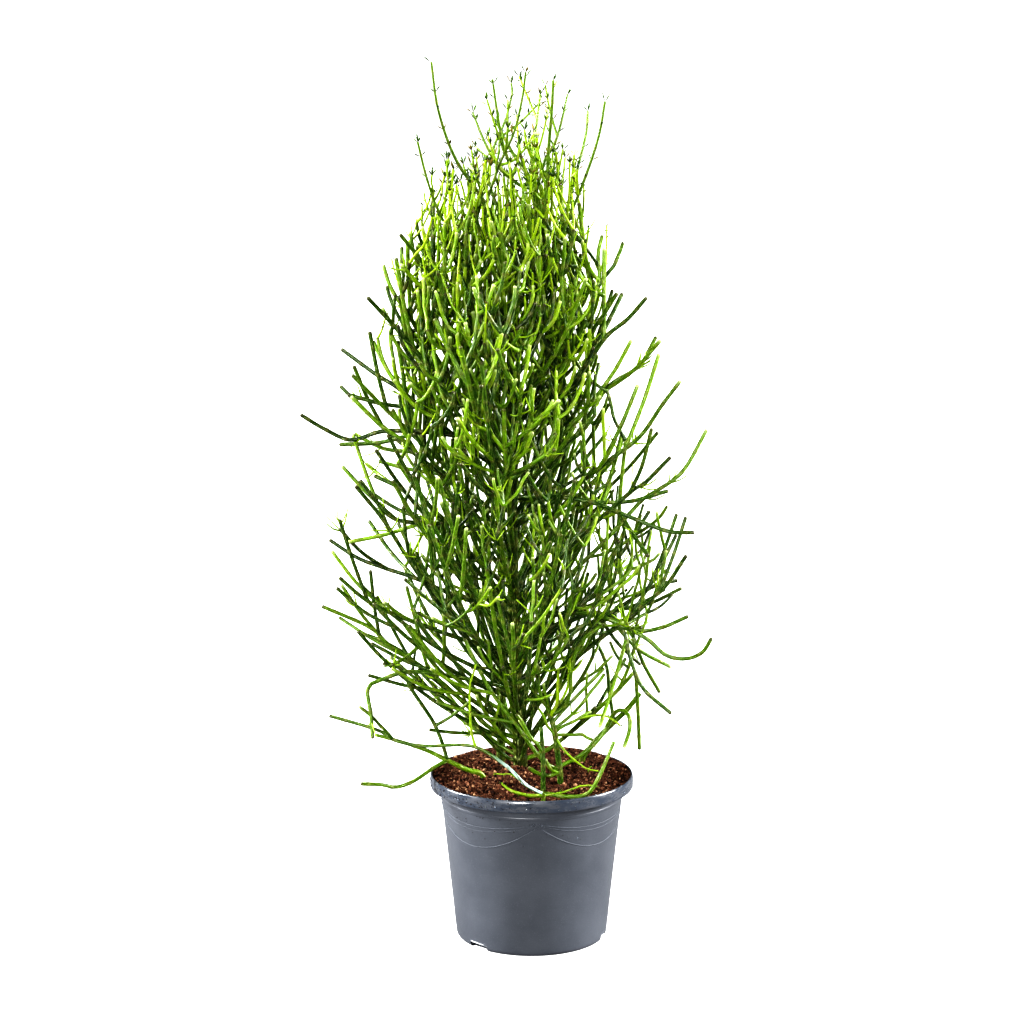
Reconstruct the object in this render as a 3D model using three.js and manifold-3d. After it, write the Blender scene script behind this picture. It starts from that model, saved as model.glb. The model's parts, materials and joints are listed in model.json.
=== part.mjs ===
// A potted pencil-stem euphorbia: a round nursery pot, its soil, and the stems that stand in the soil.
// Millimetres, +Z up. The origin is the middle of the pot's flat base, and +Y points away from the viewer.

import * as THREE from 'three';
import { mergeVertices } from 'three/addons/utils/BufferGeometryUtils.js';
import Module from 'manifold-3d';

const wasm = await Module();
wasm.setup();

// Pot
const POT_HEIGHT = 247;
const RIM_RADIUS = 150;
const RIM_THICKNESS = 3.5;
const RIM_DROP = 18;
const RIM_ROUNDING = 2;
const WALL_TOP_RADIUS = 135;
const BASE_RADIUS = 111;
const BASE_CHAMFER = 5;
const WALL = 2;
const FLOOR = 3;
const POT_SECTORS = 48;
const NOTCH_COUNT = 3;
const NOTCH_WIDTH = 34;
const NOTCH_HEIGHT = 9;
const NOTCH_REACH = 11;
const NOTCH_TURN = 0.875;

// Soil
const SEAT_GAP = 0.35;
const SOIL_EDGE = 233;
const SOIL_HEAP = 12;
const SOIL_BACK_RISE = 5;
const BANK_START = 112;
const BANK_TOP = 244;
const BANK_TILT = 3;
const SOIL_RINGS = [1, 0.93, 0.84, 0.6, 0.3];
const SOIL_SECTORS = 32;
const STEM_DEPTH = 55;

// Form of the branches
const SIDES = { stem: 6, limb: 4, twig: 3, young: 3 };
const STEM_STEPS_A_POINT = 3;
const LIMB_STEPS = 5;
const TWIG_STEPS = 2;
const TIP_RADIUS = 2.8;
const TIP_DOME = 0.6;
const MILD_BEND = 0.8;

// Room that a new branch keeps from those that have grown, and how far from its root it may touch them
const SPACING = 6;
const CLEAR_OF_OTHER_STEMS = 3;
const CLEAR_OF_OWN_STEM = 0.5;
const ROOT_ZONE = 22;

// Limbs that fill the crown: stem, count, lowest and highest root
const FILLS = [['stem_main', 38, 300, 1000], ['stem_second', 15, 330, 960]];
const FILL_ATTEMPTS = 8;
const FILL_CROWDING = 1.1;
const FILL_SPREAD = 1.15;
const FILL_SHIFT = 8;
const FILL_CLIMB = [0.8, 2.1];
const FILL_REACH = [0.45, 1];
const FILL_RADII = [3.6, 4.2];
const FILL_SAG = 0.1;

// Twigs on the limbs, and young shoots high in the crown
const TWIG_ATTEMPTS = 6;
const TWIG_RADII = [[300, 2.6], [900, 3.3]];
const TWIG_LEAN = [0.45, 0.8];
const TWIG_SIZE = [0.8, 1.15];
const TWIG_LIFT = [0.1, 0.34];
const TWIG_LENGTH = 60;
const TWIG_LENGTH_SHARE = 0.2;
const STOUT_LIMB = 3.2;
const LONG_LIMB = 180;
const PLACES_ON_LONG = [0.4, 0.58, 0.76];
const PLACES_ON_SHORT = [0.62];
const YOUNG_RADIUS = 1.8;
const YOUNG_FROM = 880;
const YOUNG_PLACE = [0.4, 0.8];
const YOUNG_LENGTH = [60, 100];

// The crown ends below this height and above this one
const CROWN_TOP = 1270;
const LOWEST_TIP = 262;

// How far the crown reaches from its middle line, and how steeply its limbs climb, by height
const CROWN_MIDDLE = -32;
const CROWN_MARGIN = 20;
const CROWN_REACH = [[250, 150], [320, 205], [450, 235], [600, 245], [750, 230], [900, 195], [1000, 155],
    [1100, 110], [1200, 85], [1300, 60]];
const LIMB_CLIMB = [[250, 0.45], [450, 0.8], [650, 1.2], [850, 1.9], [1000, 2.8]];

// Stems that stand in the soil: radius at the soil, radius at the top, and the points that the stem passes
const STEMS = [
    ['stem_main', 10, 4.5, [[-16, 40], [-25, 32, 420], [-29, 20, 655], [-31, 5, 875], [-26, 0, 1040]]],
    ['stem_second', 7, 3.4, [[-46, 74], [-44, 70, 460], [-50, 62, 700], [-56, 52, 880], [-62, 45, 990]]],
    ['stem_left_low', 5.2, 2.9, [[-70, -8], [-97, -16, 256], [-124, -24, 272], [-156, -28, 289],
        [-200, -32, 305], [-228, -34, 313]]],
    ['stem_front_a', 4, 3, [[16, -75], [16, -75, 287], [13, -74, 334]]],
    ['stem_front_b', 5, 3.6, [[42, -42], [38, -43, 285], [32, -45, 326], [25, -46, 352], [23, -46, 372]]],
    ['stem_front_edge', 3.4, 2.5, [[16, -104], [20, -108, 246], [47, -115, 244], [77, -112, 246],
        [94, -114, 269], [117, -104, 321]]],
    ['stem_right_back', 5, 3.6, [[76, 78], [90, 74, 266], [118, 66, 300], [142, 58, 326], [160, 50, 352]]],
];

// Limbs that draw the outline: name, what it grows from, at which height, radius, points that it passes
const LIMBS = [
    ['top_a', 'stem_main', 1010, 2.4, [[-80, -20, 1110], [-110, -45, 1150], [-130, -70, 1215],
        [-140, -85, 1285]]],
    ['top_b', 'stem_main', 880, 2.3, [[-76, -12, 965], [-120, -20, 1050], [-145, -45, 1110],
        [-160, -70, 1175]]],
    ['top_c', 'stem_main', 985, 3.4, [[5, 0, 1065], [0, 0, 1130], [-5, 0, 1175]]],
    ['top_d', 'top_c', 1115, 2.2, [[-15, 8, 1108], [-60, 30, 1150], [-85, 52, 1210]]],
    ['top_e', 'stem_main', 1030, 2.3, [[-30, -28, 1125], [-45, -52, 1185], [-55, -70, 1255]]],
    ['top_f', 'stem_main', 1020, 2.3, [[-65, 38, 1130], [-45, 55, 1175], [-30, 70, 1230], [-30, 74, 1250]]],
    ['top_g', 'stem_main', 960, 2.2, [[-70, -22, 1075], [-35, -26, 1160], [-15, -38, 1225], [-10, -46, 1270]]],
    ['top_h', 'stem_main', 975, 2.8, [[15, -24, 1070], [20, -42, 1125], [25, -66, 1205], [28, -82, 1260]]],
    ['top_i', 'top_c', 1100, 2.2, [[15, 14, 1140], [35, 34, 1175], [50, 56, 1235]]],
    ['top_j', 'stem_main', 860, 2.8, [[22, 18, 970], [50, 40, 1080], [75, 66, 1165], [80, 80, 1210]]],
    ['top_k', 'stem_main', 895, 2.5, [[24, -18, 995], [60, -34, 1090], [90, -52, 1170], [100, -64, 1230]]],
    ['left_a', 'stem_main', 825, 4.1, [[-80, -8, 895], [-130, -20, 965], [-160, -35, 1010],
        [-185, -60, 1045]]],
    ['left_b', 'stem_second', 720, 4, [[-108, 35, 808], [-160, 30, 895], [-200, 45, 950], [-215, 60, 990]]],
    ['left_c', 'stem_main', 715, 4, [[-95, -20, 790], [-155, -40, 865], [-195, -55, 915], [-230, -90, 960]]],
    ['left_d', 'stem_second', 690, 3.9, [[-120, 20, 755], [-180, 25, 805], [-215, 30, 830], [-275, 40, 870]]],
    ['left_e', 'stem_main', 610, 3.8, [[-95, -5, 675], [-155, -20, 740], [-205, -30, 790], [-255, -50, 845]]],
    ['left_f', 'stem_second', 600, 3.8, [[-100, 50, 655], [-155, 40, 705], [-215, 55, 750], [-280, 80, 810]]],
    ['left_g', 'stem_main', 720, 4, [[-75, -10, 745], [-130, -14, 757], [-210, -15, 760], [-260, -20, 748],
        [-300, -25, 765], [-330, -30, 785]]],
    ['left_h', 'stem_main', 345, 3.5, [[-88, -18, 445], [-160, -30, 545], [-205, -55, 625], [-250, -80, 690]]],
    ['left_i', 'stem_second', 520, 3.7, [[-110, 40, 585], [-165, 35, 635], [-185, 45, 660], [-230, 60, 680]]],
    ['left_j', 'stem_main', 590, 3.8, [[-75, -14, 612], [-120, -28, 625], [-165, -40, 630], [-205, -48, 642],
        [-245, -60, 695]]],
    ['left_k', 'stem_second', 475, 3.6, [[-130, 25, 515], [-195, 20, 545], [-245, 25, 560], [-295, 30, 590]]],
    ['left_l', 'stem_main', 420, 3.6, [[-110, -5, 452], [-190, -30, 490], [-235, -50, 515], [-275, -70, 555]]],
    ['left_m', 'stem_main', 288, 3.6, [[-62, 20, 310], [-95, 8, 347], [-149, -12, 402], [-207, -24, 446],
        [-235, -30, 471], [-302, -42, 507]]],
    ['left_s', 'stem_main', 252, 3.3, [[-47, 22, 271], [-88, 4, 325], [-113, -6, 351], [-165, -18, 389]]],
    ['left_n', 'stem_second', 295, 3.4, [[-135, 40, 370], [-200, 60, 420], [-250, 90, 435]]],
    ['left_o', 'stem_main', 365, 3.5, [[-100, -30, 398], [-175, -50, 413], [-218, -62, 404], [-236, -72, 394],
        [-232, -82, 355], [-230, -90, 325]]],
    ['left_p', 'stem_left_low', 272, 2.8, [[-149, -38, 261], [-186, -60, 244], [-213, -78, 250],
        [-246, -92, 256]]],
    ['left_q', 'stem_left_low', 272, 2.8, [[-129, -26, 291], [-137, -28, 314], [-147, -30, 338],
        [-174, -38, 382], [-191, -46, 415], [-214, -54, 425]]],
    ['left_r', 'left_q', 327, 2.4, [[-112, -30, 344], [-89, -32, 365]]],
    ['right_a', 'stem_main', 700, 4, [[0, 8, 765], [42, 8, 845], [75, 10, 915], [95, 15, 970], [95, 25, 1010],
        [100, 30, 1035]]],
    ['right_b', 'right_a', 965, 3, [[120, 22, 1000], [130, 32, 1025]]],
    ['right_c', 'stem_main', 720, 4, [[22, -8, 788], [75, -20, 855], [105, -30, 900], [135, -40, 925],
        [160, -50, 955]]],
    ['right_d', 'stem_main', 625, 3.9, [[20, 20, 690], [70, 20, 755], [110, 35, 815], [155, 45, 845],
        [180, 60, 885]]],
    ['right_e', 'stem_main', 610, 3.8, [[20, 0, 645], [85, -10, 695], [115, -20, 720], [155, -28, 755],
        [185, -34, 800], [210, -40, 835]]],
    ['right_f', 'stem_main', 455, 3.6, [[30, 24, 515], [100, 20, 585], [160, 30, 650], [180, 35, 660],
        [220, 40, 690], [255, 50, 750]]],
    ['right_g', 'stem_main', 500, 3.7, [[30, -2, 562], [90, -25, 625], [145, -45, 680], [160, -55, 690],
        [195, -70, 730]]],
    ['right_h', 'stem_main', 655, 3.9, [[30, -14, 664], [85, -35, 660], [130, -55, 645], [190, -75, 625],
        [228, -92, 626]]],
    ['right_i', 'stem_main', 335, 3.4, [[38, 12, 395], [100, -2, 450], [150, -20, 495], [190, -40, 535],
        [220, -60, 585]]],
    ['right_j', 'stem_main', 375, 3.5, [[35, 36, 415], [100, 40, 465], [170, 55, 510], [215, 75, 520]]],
    ['right_k', 'stem_main', 430, 3.6, [[30, 18, 458], [95, 18, 484], [150, 22, 458], [190, 34, 458],
        [230, 45, 472]]],
    ['right_l', 'stem_main', 445, 3.6, [[20, 0, 482], [90, -30, 492], [160, -50, 465], [192, -62, 440],
        [222, -72, 438], [244, -82, 450], [256, -88, 470]]],
    ['right_m', 'stem_main', 415, 3.6, [[30, -12, 452], [100, -26, 484], [130, -36, 475], [142, -46, 435],
        [160, -56, 390], [200, -66, 355]]],
    ['right_n', 'stem_main', 254, 3.4, [[20, 52, 264], [48, 56, 284], [98, 46, 330], [136, 36, 371],
        [150, 30, 390]]],
    ['front_lean', 'stem_front_b', 345, 2.8, [[50, -51, 366], [57, -55, 400], [65, -58, 451],
        [102, -66, 486]]],
    ['front_over', 'stem_front_b', 262, 3.2, [[13, -50, 280], [-25, -52, 338], [-61, -48, 384],
        [-87, -44, 436], [-97, -42, 458]]],
    ['front_stub', 'stem_front_b', 262, 3, [[24, -54, 256], [-4, -58, 270]]],
    ['front_side', 'stem_front_b', 268, 3, [[70, -30, 280], [98, -26, 306], [118, -22, 340]]],
    ['front_hook', 'front_side', 325, 3, [[124, -36, 352], [138, -52, 350], [143, -60, 332], [134, -64, 304]]],
    ['front_twig', 'stem_front_a', 300, 2.6, [[-6, -84, 330], [-22, -88, 358]]],
    ['edge_left', 'stem_front_edge', 244, 2.5, [[-10, -106, 260], [-39, -98, 286], [-87, -84, 310],
        [-155, -70, 307], [-197, -62, 312], [-226, -58, 327], [-293, -50, 346]]],
    ['edge_tip', 'edge_left', 315, 2.4, [[-224, -66, 341], [-249, -70, 365]]],
];

// Vectors

function add(a, b, share = 1) {
    return [a[0] + b[0] * share, a[1] + b[1] * share, a[2] + b[2] * share];
}

function scale(a, factor) {
    return [a[0] * factor, a[1] * factor, a[2] * factor];
}

function cross(a, b) {
    return [a[1] * b[2] - a[2] * b[1], a[2] * b[0] - a[0] * b[2], a[0] * b[1] - a[1] * b[0]];
}

function dot(a, b) {
    return a[0] * b[0] + a[1] * b[1] + a[2] * b[2];
}

function unit(a) {
    return scale(a, 1 / Math.sqrt(dot(a, a)));
}

function distance(a, b) {
    const gap = add(a, b, -1);
    return Math.sqrt(dot(gap, gap));
}

// Seeded draws, the same on every run
let seed = 64;

function draw([low, high]) {
    seed = (seed * 1664525 + 1013904223) % 4294967296;
    return low + (high - low) * (seed / 4294967296);
}

// Straight-line reading of a list of [height, value] pairs
function read(pairs, height) {
    let [before, value] = pairs[0];
    for (const [next, nextValue] of pairs) {
        if (height <= next) {
            return next === before
                ? nextValue
                : value + (nextValue - value) * (height - before) / (next - before);
        }
        [before, value] = [next, nextValue];
    }
    return value;
}

// A smooth line through points, as steps + 1 points
function smooth(points, steps) {
    const last = points.length - 1;
    const line = [];
    for (let i = 0; i <= steps; i += 1) {
        const place = last * i / steps;
        const span = Math.min(Math.floor(place), last - 1);
        const t = place - span;
        const b = points[span];
        const c = points[span + 1];
        const a = span > 0 ? points[span - 1] : add(scale(b, 2), c, -1);
        const d = span + 2 <= last ? points[span + 2] : add(scale(c, 2), b, -1);
        line.push([0, 1, 2].map((k) => 0.5 * (2 * b[k] + (c[k] - a[k]) * t
            + (2 * a[k] - 5 * b[k] + 4 * c[k] - d[k]) * t * t
            + (3 * b[k] - a[k] - 3 * c[k] + d[k]) * t * t * t)));
    }
    return line;
}

// Solids

function solid(geometry) {
    geometry.deleteAttribute('normal');
    geometry.deleteAttribute('uv');
    const merged = mergeVertices(geometry);
    return new wasm.Manifold(new wasm.Mesh({
        numProp: 3,
        vertProperties: new Float32Array(merged.attributes.position.array),
        triVerts: new Uint32Array(merged.index.array),
    }));
}

function piece(name, body, colour, roughness) {
    const { vertProperties, triVerts } = body.getMesh();
    const geometry = new THREE.BufferGeometry();
    geometry.setAttribute('position', new THREE.BufferAttribute(vertProperties, 3));
    geometry.setIndex(new THREE.BufferAttribute(triVerts, 1));
    geometry.computeVertexNormals();
    const material = new THREE.MeshStandardMaterial({ color: colour, roughness, metalness: 0 });
    const mesh = new THREE.Mesh(geometry, material);
    mesh.name = name;
    return mesh;
}

// A direction square to another one
function squareTo(direction) {
    return unit(cross(direction, Math.abs(direction[2]) > 0.8 ? [1, 0, 0] : [0, 0, 1]));
}

// The two directions that each ring of a bar is drawn in. A bar that bends little keeps one pair, so that
// its faces are flat, and a bar that bends far turns them as it goes.
function ringFrames(line) {
    const rings = line.length - 1;
    const chord = unit(add(line[rings], line[0], -1));
    const tangents = line.map((_, i) => unit(add(line[Math.min(i + 1, rings)], line[Math.max(i - 1, 0)], -1)));
    if (tangents.every((tangent) => dot(tangent, chord) > MILD_BEND)) {
        return tangents.map(() => [squareTo(chord), cross(chord, squareTo(chord))]);
    }
    let side = squareTo(tangents[0]);
    return tangents.map((tangent) => {
        side = unit(add(side, tangent, -dot(side, tangent)));
        return [side, cross(tangent, side)];
    });
}

// A round bar bent along a line: a cylinder whose rings follow the line's points, with a domed tip
function tube(line, radii, sides) {
    const rings = line.length - 1;
    const bar = new THREE.CylinderGeometry(1, 1, 1, sides, rings);
    const places = bar.attributes.position;
    const frames = ringFrames(line);
    const along = unit(add(line[rings], line[rings - 1], -1));
    for (let i = 0; i < places.count; i += 1) {
        const ring = Math.round((places.getY(i) + 0.5) * rings);
        const radius = radii[0] + (radii[1] - radii[0]) * ring / rings;
        const [a, b] = frames[ring];
        let place = add(add(line[ring], a, places.getZ(i) * radius), b, places.getX(i) * radius);
        if (ring === rings && Math.hypot(places.getX(i), places.getZ(i)) < 0.5) {
            place = add(place, along, radius * TIP_DOME);
        }
        places.setXYZ(i, ...place);
    }
    return solid(bar);
}

function lathe(outline, sectors) {
    const points = outline.map(([radius, height]) => new THREE.Vector2(radius, height));
    const body = new THREE.LatheGeometry(points, sectors);
    body.rotateX(Math.PI / 2);
    return body;
}

// Pot

function wallRadius(height) {
    return BASE_RADIUS + (WALL_TOP_RADIUS - BASE_RADIUS) * height / (POT_HEIGHT - RIM_DROP);
}

function potBody() {
    const lip = POT_HEIGHT - RIM_DROP;
    return solid(lathe([
        [0, 0],
        [BASE_RADIUS - BASE_CHAMFER, 0],
        [wallRadius(BASE_CHAMFER), BASE_CHAMFER],
        [wallRadius(lip), lip],
        [RIM_RADIUS, lip],
        [RIM_RADIUS, POT_HEIGHT - RIM_ROUNDING],
        [RIM_RADIUS - 0.4 * RIM_ROUNDING, POT_HEIGHT - 0.3 * RIM_ROUNDING],
        [RIM_RADIUS - RIM_ROUNDING, POT_HEIGHT],
        [RIM_RADIUS - RIM_THICKNESS, POT_HEIGHT],
        [RIM_RADIUS - RIM_THICKNESS, lip + WALL],
        [wallRadius(lip) - WALL, lip + WALL],
        [wallRadius(FLOOR + BASE_CHAMFER) - WALL, FLOOR + BASE_CHAMFER],
        [BASE_RADIUS - BASE_CHAMFER - WALL, FLOOR],
        [0, FLOOR],
    ], POT_SECTORS));
}

// One drain notch at the foot of the wall, through the wall and the edge of the floor
function notch(turn) {
    const block = new THREE.BoxGeometry(2 * NOTCH_REACH, NOTCH_WIDTH, 2 * NOTCH_HEIGHT);
    block.translate(BASE_RADIUS, 0, 0);
    block.rotateZ(turn);
    return solid(block);
}

function pot() {
    let body = potBody();
    for (let i = 0; i < NOTCH_COUNT; i += 1) {
        body = body.subtract(notch((i + NOTCH_TURN) * 2 * Math.PI / NOTCH_COUNT));
    }
    return body;
}

// Soil

// The soil is heaped in the middle and banked up to the rim, higher at the back, with broad and small lumps
function soilTop(x, y) {
    const radius = Math.hypot(x, y);
    const share = radius / (WALL_TOP_RADIUS - WALL);
    const heap = SOIL_HEAP * (1 - share * share) + SOIL_BACK_RISE * share * y / WALL_TOP_RADIUS;
    const broad = 1.6 * Math.sin(x * 0.13 + 1) * Math.sin(y * 0.11 + 2);
    const small = 1.1 * Math.sin(x * 0.31) * Math.cos(y * 0.27);
    const bed = SOIL_EDGE + heap + broad + small;
    const bank = BANK_TOP + BANK_TILT * y / RIM_RADIUS;
    return bed + (bank - bed) * THREE.MathUtils.smoothstep(radius, BANK_START, RIM_RADIUS - RIM_THICKNESS);
}

function soil() {
    const foot = FLOOR + BASE_CHAMFER;
    const flat = Math.cos(Math.PI / POT_SECTORS);
    const lip = POT_HEIGHT - RIM_DROP;
    const ledge = lip + WALL + SEAT_GAP;
    const edge = (RIM_RADIUS - RIM_THICKNESS) * flat - SEAT_GAP;
    const body = lathe([
        [0, FLOOR + SEAT_GAP],
        [BASE_RADIUS - BASE_CHAMFER - WALL - 2, FLOOR + SEAT_GAP],
        [(wallRadius(foot) - WALL) * flat - SEAT_GAP, foot + 1],
        [(wallRadius(lip) - WALL) * flat - SEAT_GAP, ledge],
        [edge, ledge],
        ...SOIL_RINGS.map((share) => [edge * share, BANK_TOP]),
        [0, BANK_TOP],
    ], SOIL_SECTORS);
    const places = body.attributes.position;
    for (let i = 0; i < places.count; i += 1) {
        if (places.getZ(i) > BANK_TOP - 1) {
            places.setZ(i, soilTop(places.getX(i), places.getY(i)));
        }
    }
    return solid(body);
}

// Stems

const branches = [];
const taken = [];

function samples(path) {
    const points = [];
    for (let i = 1; i < path.length; i += 1) {
        const count = Math.ceil(distance(path[i], path[i - 1]) / SPACING);
        for (let k = 1; k <= count; k += 1) {
            points.push(add(path[i - 1], add(path[i], path[i - 1], -1), k / count));
        }
    }
    return points;
}

// True where a branch of this radius along the path stays clear of all that has grown already
function fits(path, radius, stem) {
    const root = path[0];
    return samples(path).every((point) => taken.every(([place, size, owner]) => {
        const own = owner === stem;
        if (own && distance(point, root) < ROOT_ZONE) {
            return true;
        }
        return distance(point, place) > radius + size + (own ? CLEAR_OF_OWN_STEM : CLEAR_OF_OTHER_STEMS);
    }));
}

function keep(branch) {
    branches.push(branch);
    samples(branch.path).forEach((point) => taken.push([point, branch.radii[0], branch.stem]));
}

// The point of a branch at a height, read on the way out from its root
function pointAt(path, height) {
    for (let i = 1; i < path.length; i += 1) {
        const [low, high] = [path[i - 1][2], path[i][2]];
        if ((low - height) * (high - height) <= 0 && low !== high) {
            return add(path[i - 1], add(path[i], path[i - 1], -1), (height - low) / (high - low));
        }
    }
    return path[path.length - 1];
}

function plantStem([name, radius, topRadius, points]) {
    const [x, y] = points[0];
    const ground = soilTop(x, y);
    const path = [[x, y, ground - STEM_DEPTH], [x, y, ground], ...points.slice(1)];
    const line = smooth(path, path.length * STEM_STEPS_A_POINT);
    keep({ name, stem: name, path: line, radii: [radius, topRadius], kind: 'stem' });
}

function growLimb([name, parentName, height, radius, points]) {
    const parent = branches.find((branch) => branch.name === parentName);
    const root = pointAt(parent.path, height);
    const path = smooth([root, ...points], Math.max(LIMB_STEPS, points.length));
    keep({ name, stem: parent.stem, path, radii: [radius, Math.min(radius, TIP_RADIUS)], kind: 'limb' });
}

// A limb by rule: out from its stem, then up to the edge of the crown
function fillLimb(parent, height, turn, climb, share) {
    const root = pointAt(parent.path, height);
    const rise = Math.min(read(CROWN_REACH, height) * read(LIMB_CLIMB, height) * climb, CROWN_TOP - height);
    const reach = read(CROWN_REACH, height + rise) * share;
    const out = [Math.cos(turn), Math.sin(turn), 0];
    const tip = [CROWN_MIDDLE + out[0] * reach, out[1] * reach, root[2] + rise];
    const bend = [0.4, 0.75].map((part) => add(root, add(tip, root, -1), part));
    return smooth([root, ...bend.map((point) => add(point, [0, 0, 1], -FILL_SAG * rise)), tip], LIMB_STEPS);
}

// The listed limbs reach to the left and right, so these take turns between the front and the back
function fillStem([name, count, low, high]) {
    const parent = branches.find((branch) => branch.name === name);
    for (let i = 0; i < count; i += 1) {
        const share = ((i + 0.5) / count) ** FILL_CROWDING;
        const height = low + (high - low) * share;
        const radius = FILL_RADII[0] + (FILL_RADII[1] - FILL_RADII[0]) * share;
        for (let attempt = 0; attempt < FILL_ATTEMPTS; attempt += 1) {
            const turn = (i % 2 - 0.5) * Math.PI + draw([-FILL_SPREAD, FILL_SPREAD]);
            const place = height + draw([-FILL_SHIFT, FILL_SHIFT]);
            const path = fillLimb(parent, place, turn, draw(FILL_CLIMB), draw(FILL_REACH));
            if (fits(path, radius, parent.stem)) {
                keep({ name: '', stem: parent.stem, path, radii: [radius, TIP_RADIUS], kind: 'limb' });
                break;
            }
        }
    }
}

// A twig: leaves its parent at an angle and bends upwards step by step
function twigPath(root, along, lean, length, lift) {
    const around = draw([0, 2 * Math.PI]);
    const side = squareTo(along);
    const away = add(scale(side, Math.cos(around)), cross(along, side), Math.sin(around));
    let direction = unit(add(scale(along, Math.cos(lean)), away, Math.sin(lean)));
    const path = [root];
    for (let step = 0; step < TWIG_STEPS; step += 1) {
        path.push(add(path[step], direction, length / TWIG_STEPS));
        direction = unit(add(direction, [0, 0, 1], lift));
    }
    return path;
}

function inCrown([x, y, z]) {
    const reach = read(CROWN_REACH, z) + CROWN_MARGIN;
    return Math.hypot(x - CROWN_MIDDLE, y) < reach && z > LOWEST_TIP && z < CROWN_TOP;
}

function growTwig(parent, share, length, radius, kind) {
    const place = share * (parent.path.length - 1);
    const span = Math.min(Math.floor(place), parent.path.length - 2);
    const along = unit(add(parent.path[span + 1], parent.path[span], -1));
    const root = add(parent.path[span], add(parent.path[span + 1], parent.path[span], -1), place - span);
    for (let attempt = 0; attempt < TWIG_ATTEMPTS; attempt += 1) {
        const path = twigPath(root, along, draw(TWIG_LEAN), length * draw(TWIG_SIZE), draw(TWIG_LIFT));
        if (inCrown(path[TWIG_STEPS]) && fits(path, radius, parent.stem)) {
            keep({ name: '', stem: parent.stem, path, radii: [radius, radius], kind });
            break;
        }
    }
}

function lengthOf(path) {
    return path.slice(1).reduce((sum, point, i) => sum + distance(point, path[i]), 0);
}

function growPlant() {
    STEMS.forEach(plantStem);
    LIMBS.forEach(growLimb);
    FILLS.forEach(fillStem);
    for (const limb of branches.filter(({ kind, radii }) => kind === 'limb' && radii[0] >= STOUT_LIMB)) {
        const length = lengthOf(limb.path);
        for (const share of length > LONG_LIMB ? PLACES_ON_LONG : PLACES_ON_SHORT) {
            const radius = read(TWIG_RADII, limb.path[0][2]);
            growTwig(limb, share, TWIG_LENGTH + TWIG_LENGTH_SHARE * length, radius, 'twig');
        }
    }
    for (const parent of branches.filter(({ kind, path }) => kind !== 'stem' && path[0][2] > YOUNG_FROM)) {
        growTwig(parent, draw(YOUNG_PLACE), draw(YOUNG_LENGTH), YOUNG_RADIUS, 'young');
    }
}

function stemBody(name) {
    const own = branches.filter((branch) => branch.stem === name);
    return wasm.Manifold.union(own.map(({ path, radii, kind }) => tube(path, radii, SIDES[kind])));
}

// The plain hole in the soil that a stem stands in: the stem's own shape, a little larger
function socket([name, radius, topRadius]) {
    const { path } = branches.find((branch) => branch.name === name);
    const line = [add(path[0], [0, 0, -SEAT_GAP]), ...path.slice(1)];
    return tube(line, [radius + SEAT_GAP, topRadius + SEAT_GAP], SIDES.stem);
}

// The whole object

const plant = new THREE.Group();
growPlant();

const COLOURS = {
    stem_main: 0x56801c,
    stem_second: 0x5c8a20,
    stem_left_low: 0x55781f,
    stem_front_a: 0x4f7a1c,
    stem_front_b: 0x7c9c2c,
    stem_front_edge: 0x6f9c2a,
    stem_right_back: 0x3f6420,
};

const bed = STEMS.reduce((body, stem) => body.subtract(socket(stem)), soil());
plant.add(piece('pot', pot(), 0x5d636e, 0.5));
plant.add(piece('soil', bed, 0x4a2718, 0.95));
for (const [name] of STEMS) {
    plant.add(piece(name, stemBody(name), COLOURS[name], 0.55));
}

export default plant;
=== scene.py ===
import json
import math
import bpy
import numpy as np
from mathutils import Euler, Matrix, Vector, noise
from types import SimpleNamespace

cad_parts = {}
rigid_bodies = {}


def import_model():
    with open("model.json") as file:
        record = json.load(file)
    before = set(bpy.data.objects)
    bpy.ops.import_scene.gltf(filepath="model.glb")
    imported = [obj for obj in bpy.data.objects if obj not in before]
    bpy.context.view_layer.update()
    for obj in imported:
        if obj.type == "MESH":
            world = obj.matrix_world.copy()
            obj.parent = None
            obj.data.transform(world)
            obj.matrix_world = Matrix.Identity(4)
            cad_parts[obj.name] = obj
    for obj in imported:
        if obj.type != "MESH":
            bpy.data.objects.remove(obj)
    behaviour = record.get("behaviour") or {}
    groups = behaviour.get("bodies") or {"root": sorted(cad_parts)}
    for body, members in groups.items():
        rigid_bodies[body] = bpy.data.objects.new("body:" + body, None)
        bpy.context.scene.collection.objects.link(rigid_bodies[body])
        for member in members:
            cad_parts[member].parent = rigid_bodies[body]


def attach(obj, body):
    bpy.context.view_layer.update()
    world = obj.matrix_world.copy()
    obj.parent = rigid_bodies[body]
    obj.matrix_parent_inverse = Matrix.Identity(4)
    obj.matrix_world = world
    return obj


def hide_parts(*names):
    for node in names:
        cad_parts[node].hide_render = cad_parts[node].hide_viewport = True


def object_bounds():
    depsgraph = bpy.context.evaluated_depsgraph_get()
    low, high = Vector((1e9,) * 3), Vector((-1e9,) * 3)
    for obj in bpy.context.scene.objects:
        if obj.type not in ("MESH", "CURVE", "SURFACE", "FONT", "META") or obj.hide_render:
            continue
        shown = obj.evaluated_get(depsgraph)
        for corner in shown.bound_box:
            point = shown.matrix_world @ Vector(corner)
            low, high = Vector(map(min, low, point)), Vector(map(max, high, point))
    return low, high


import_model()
cad_low, cad_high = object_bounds()

# A potted pencil-stem euphorbia. Shapes are worked out in millimetres, +Z up, and scaled as they are built.
MM = 0.001

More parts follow.
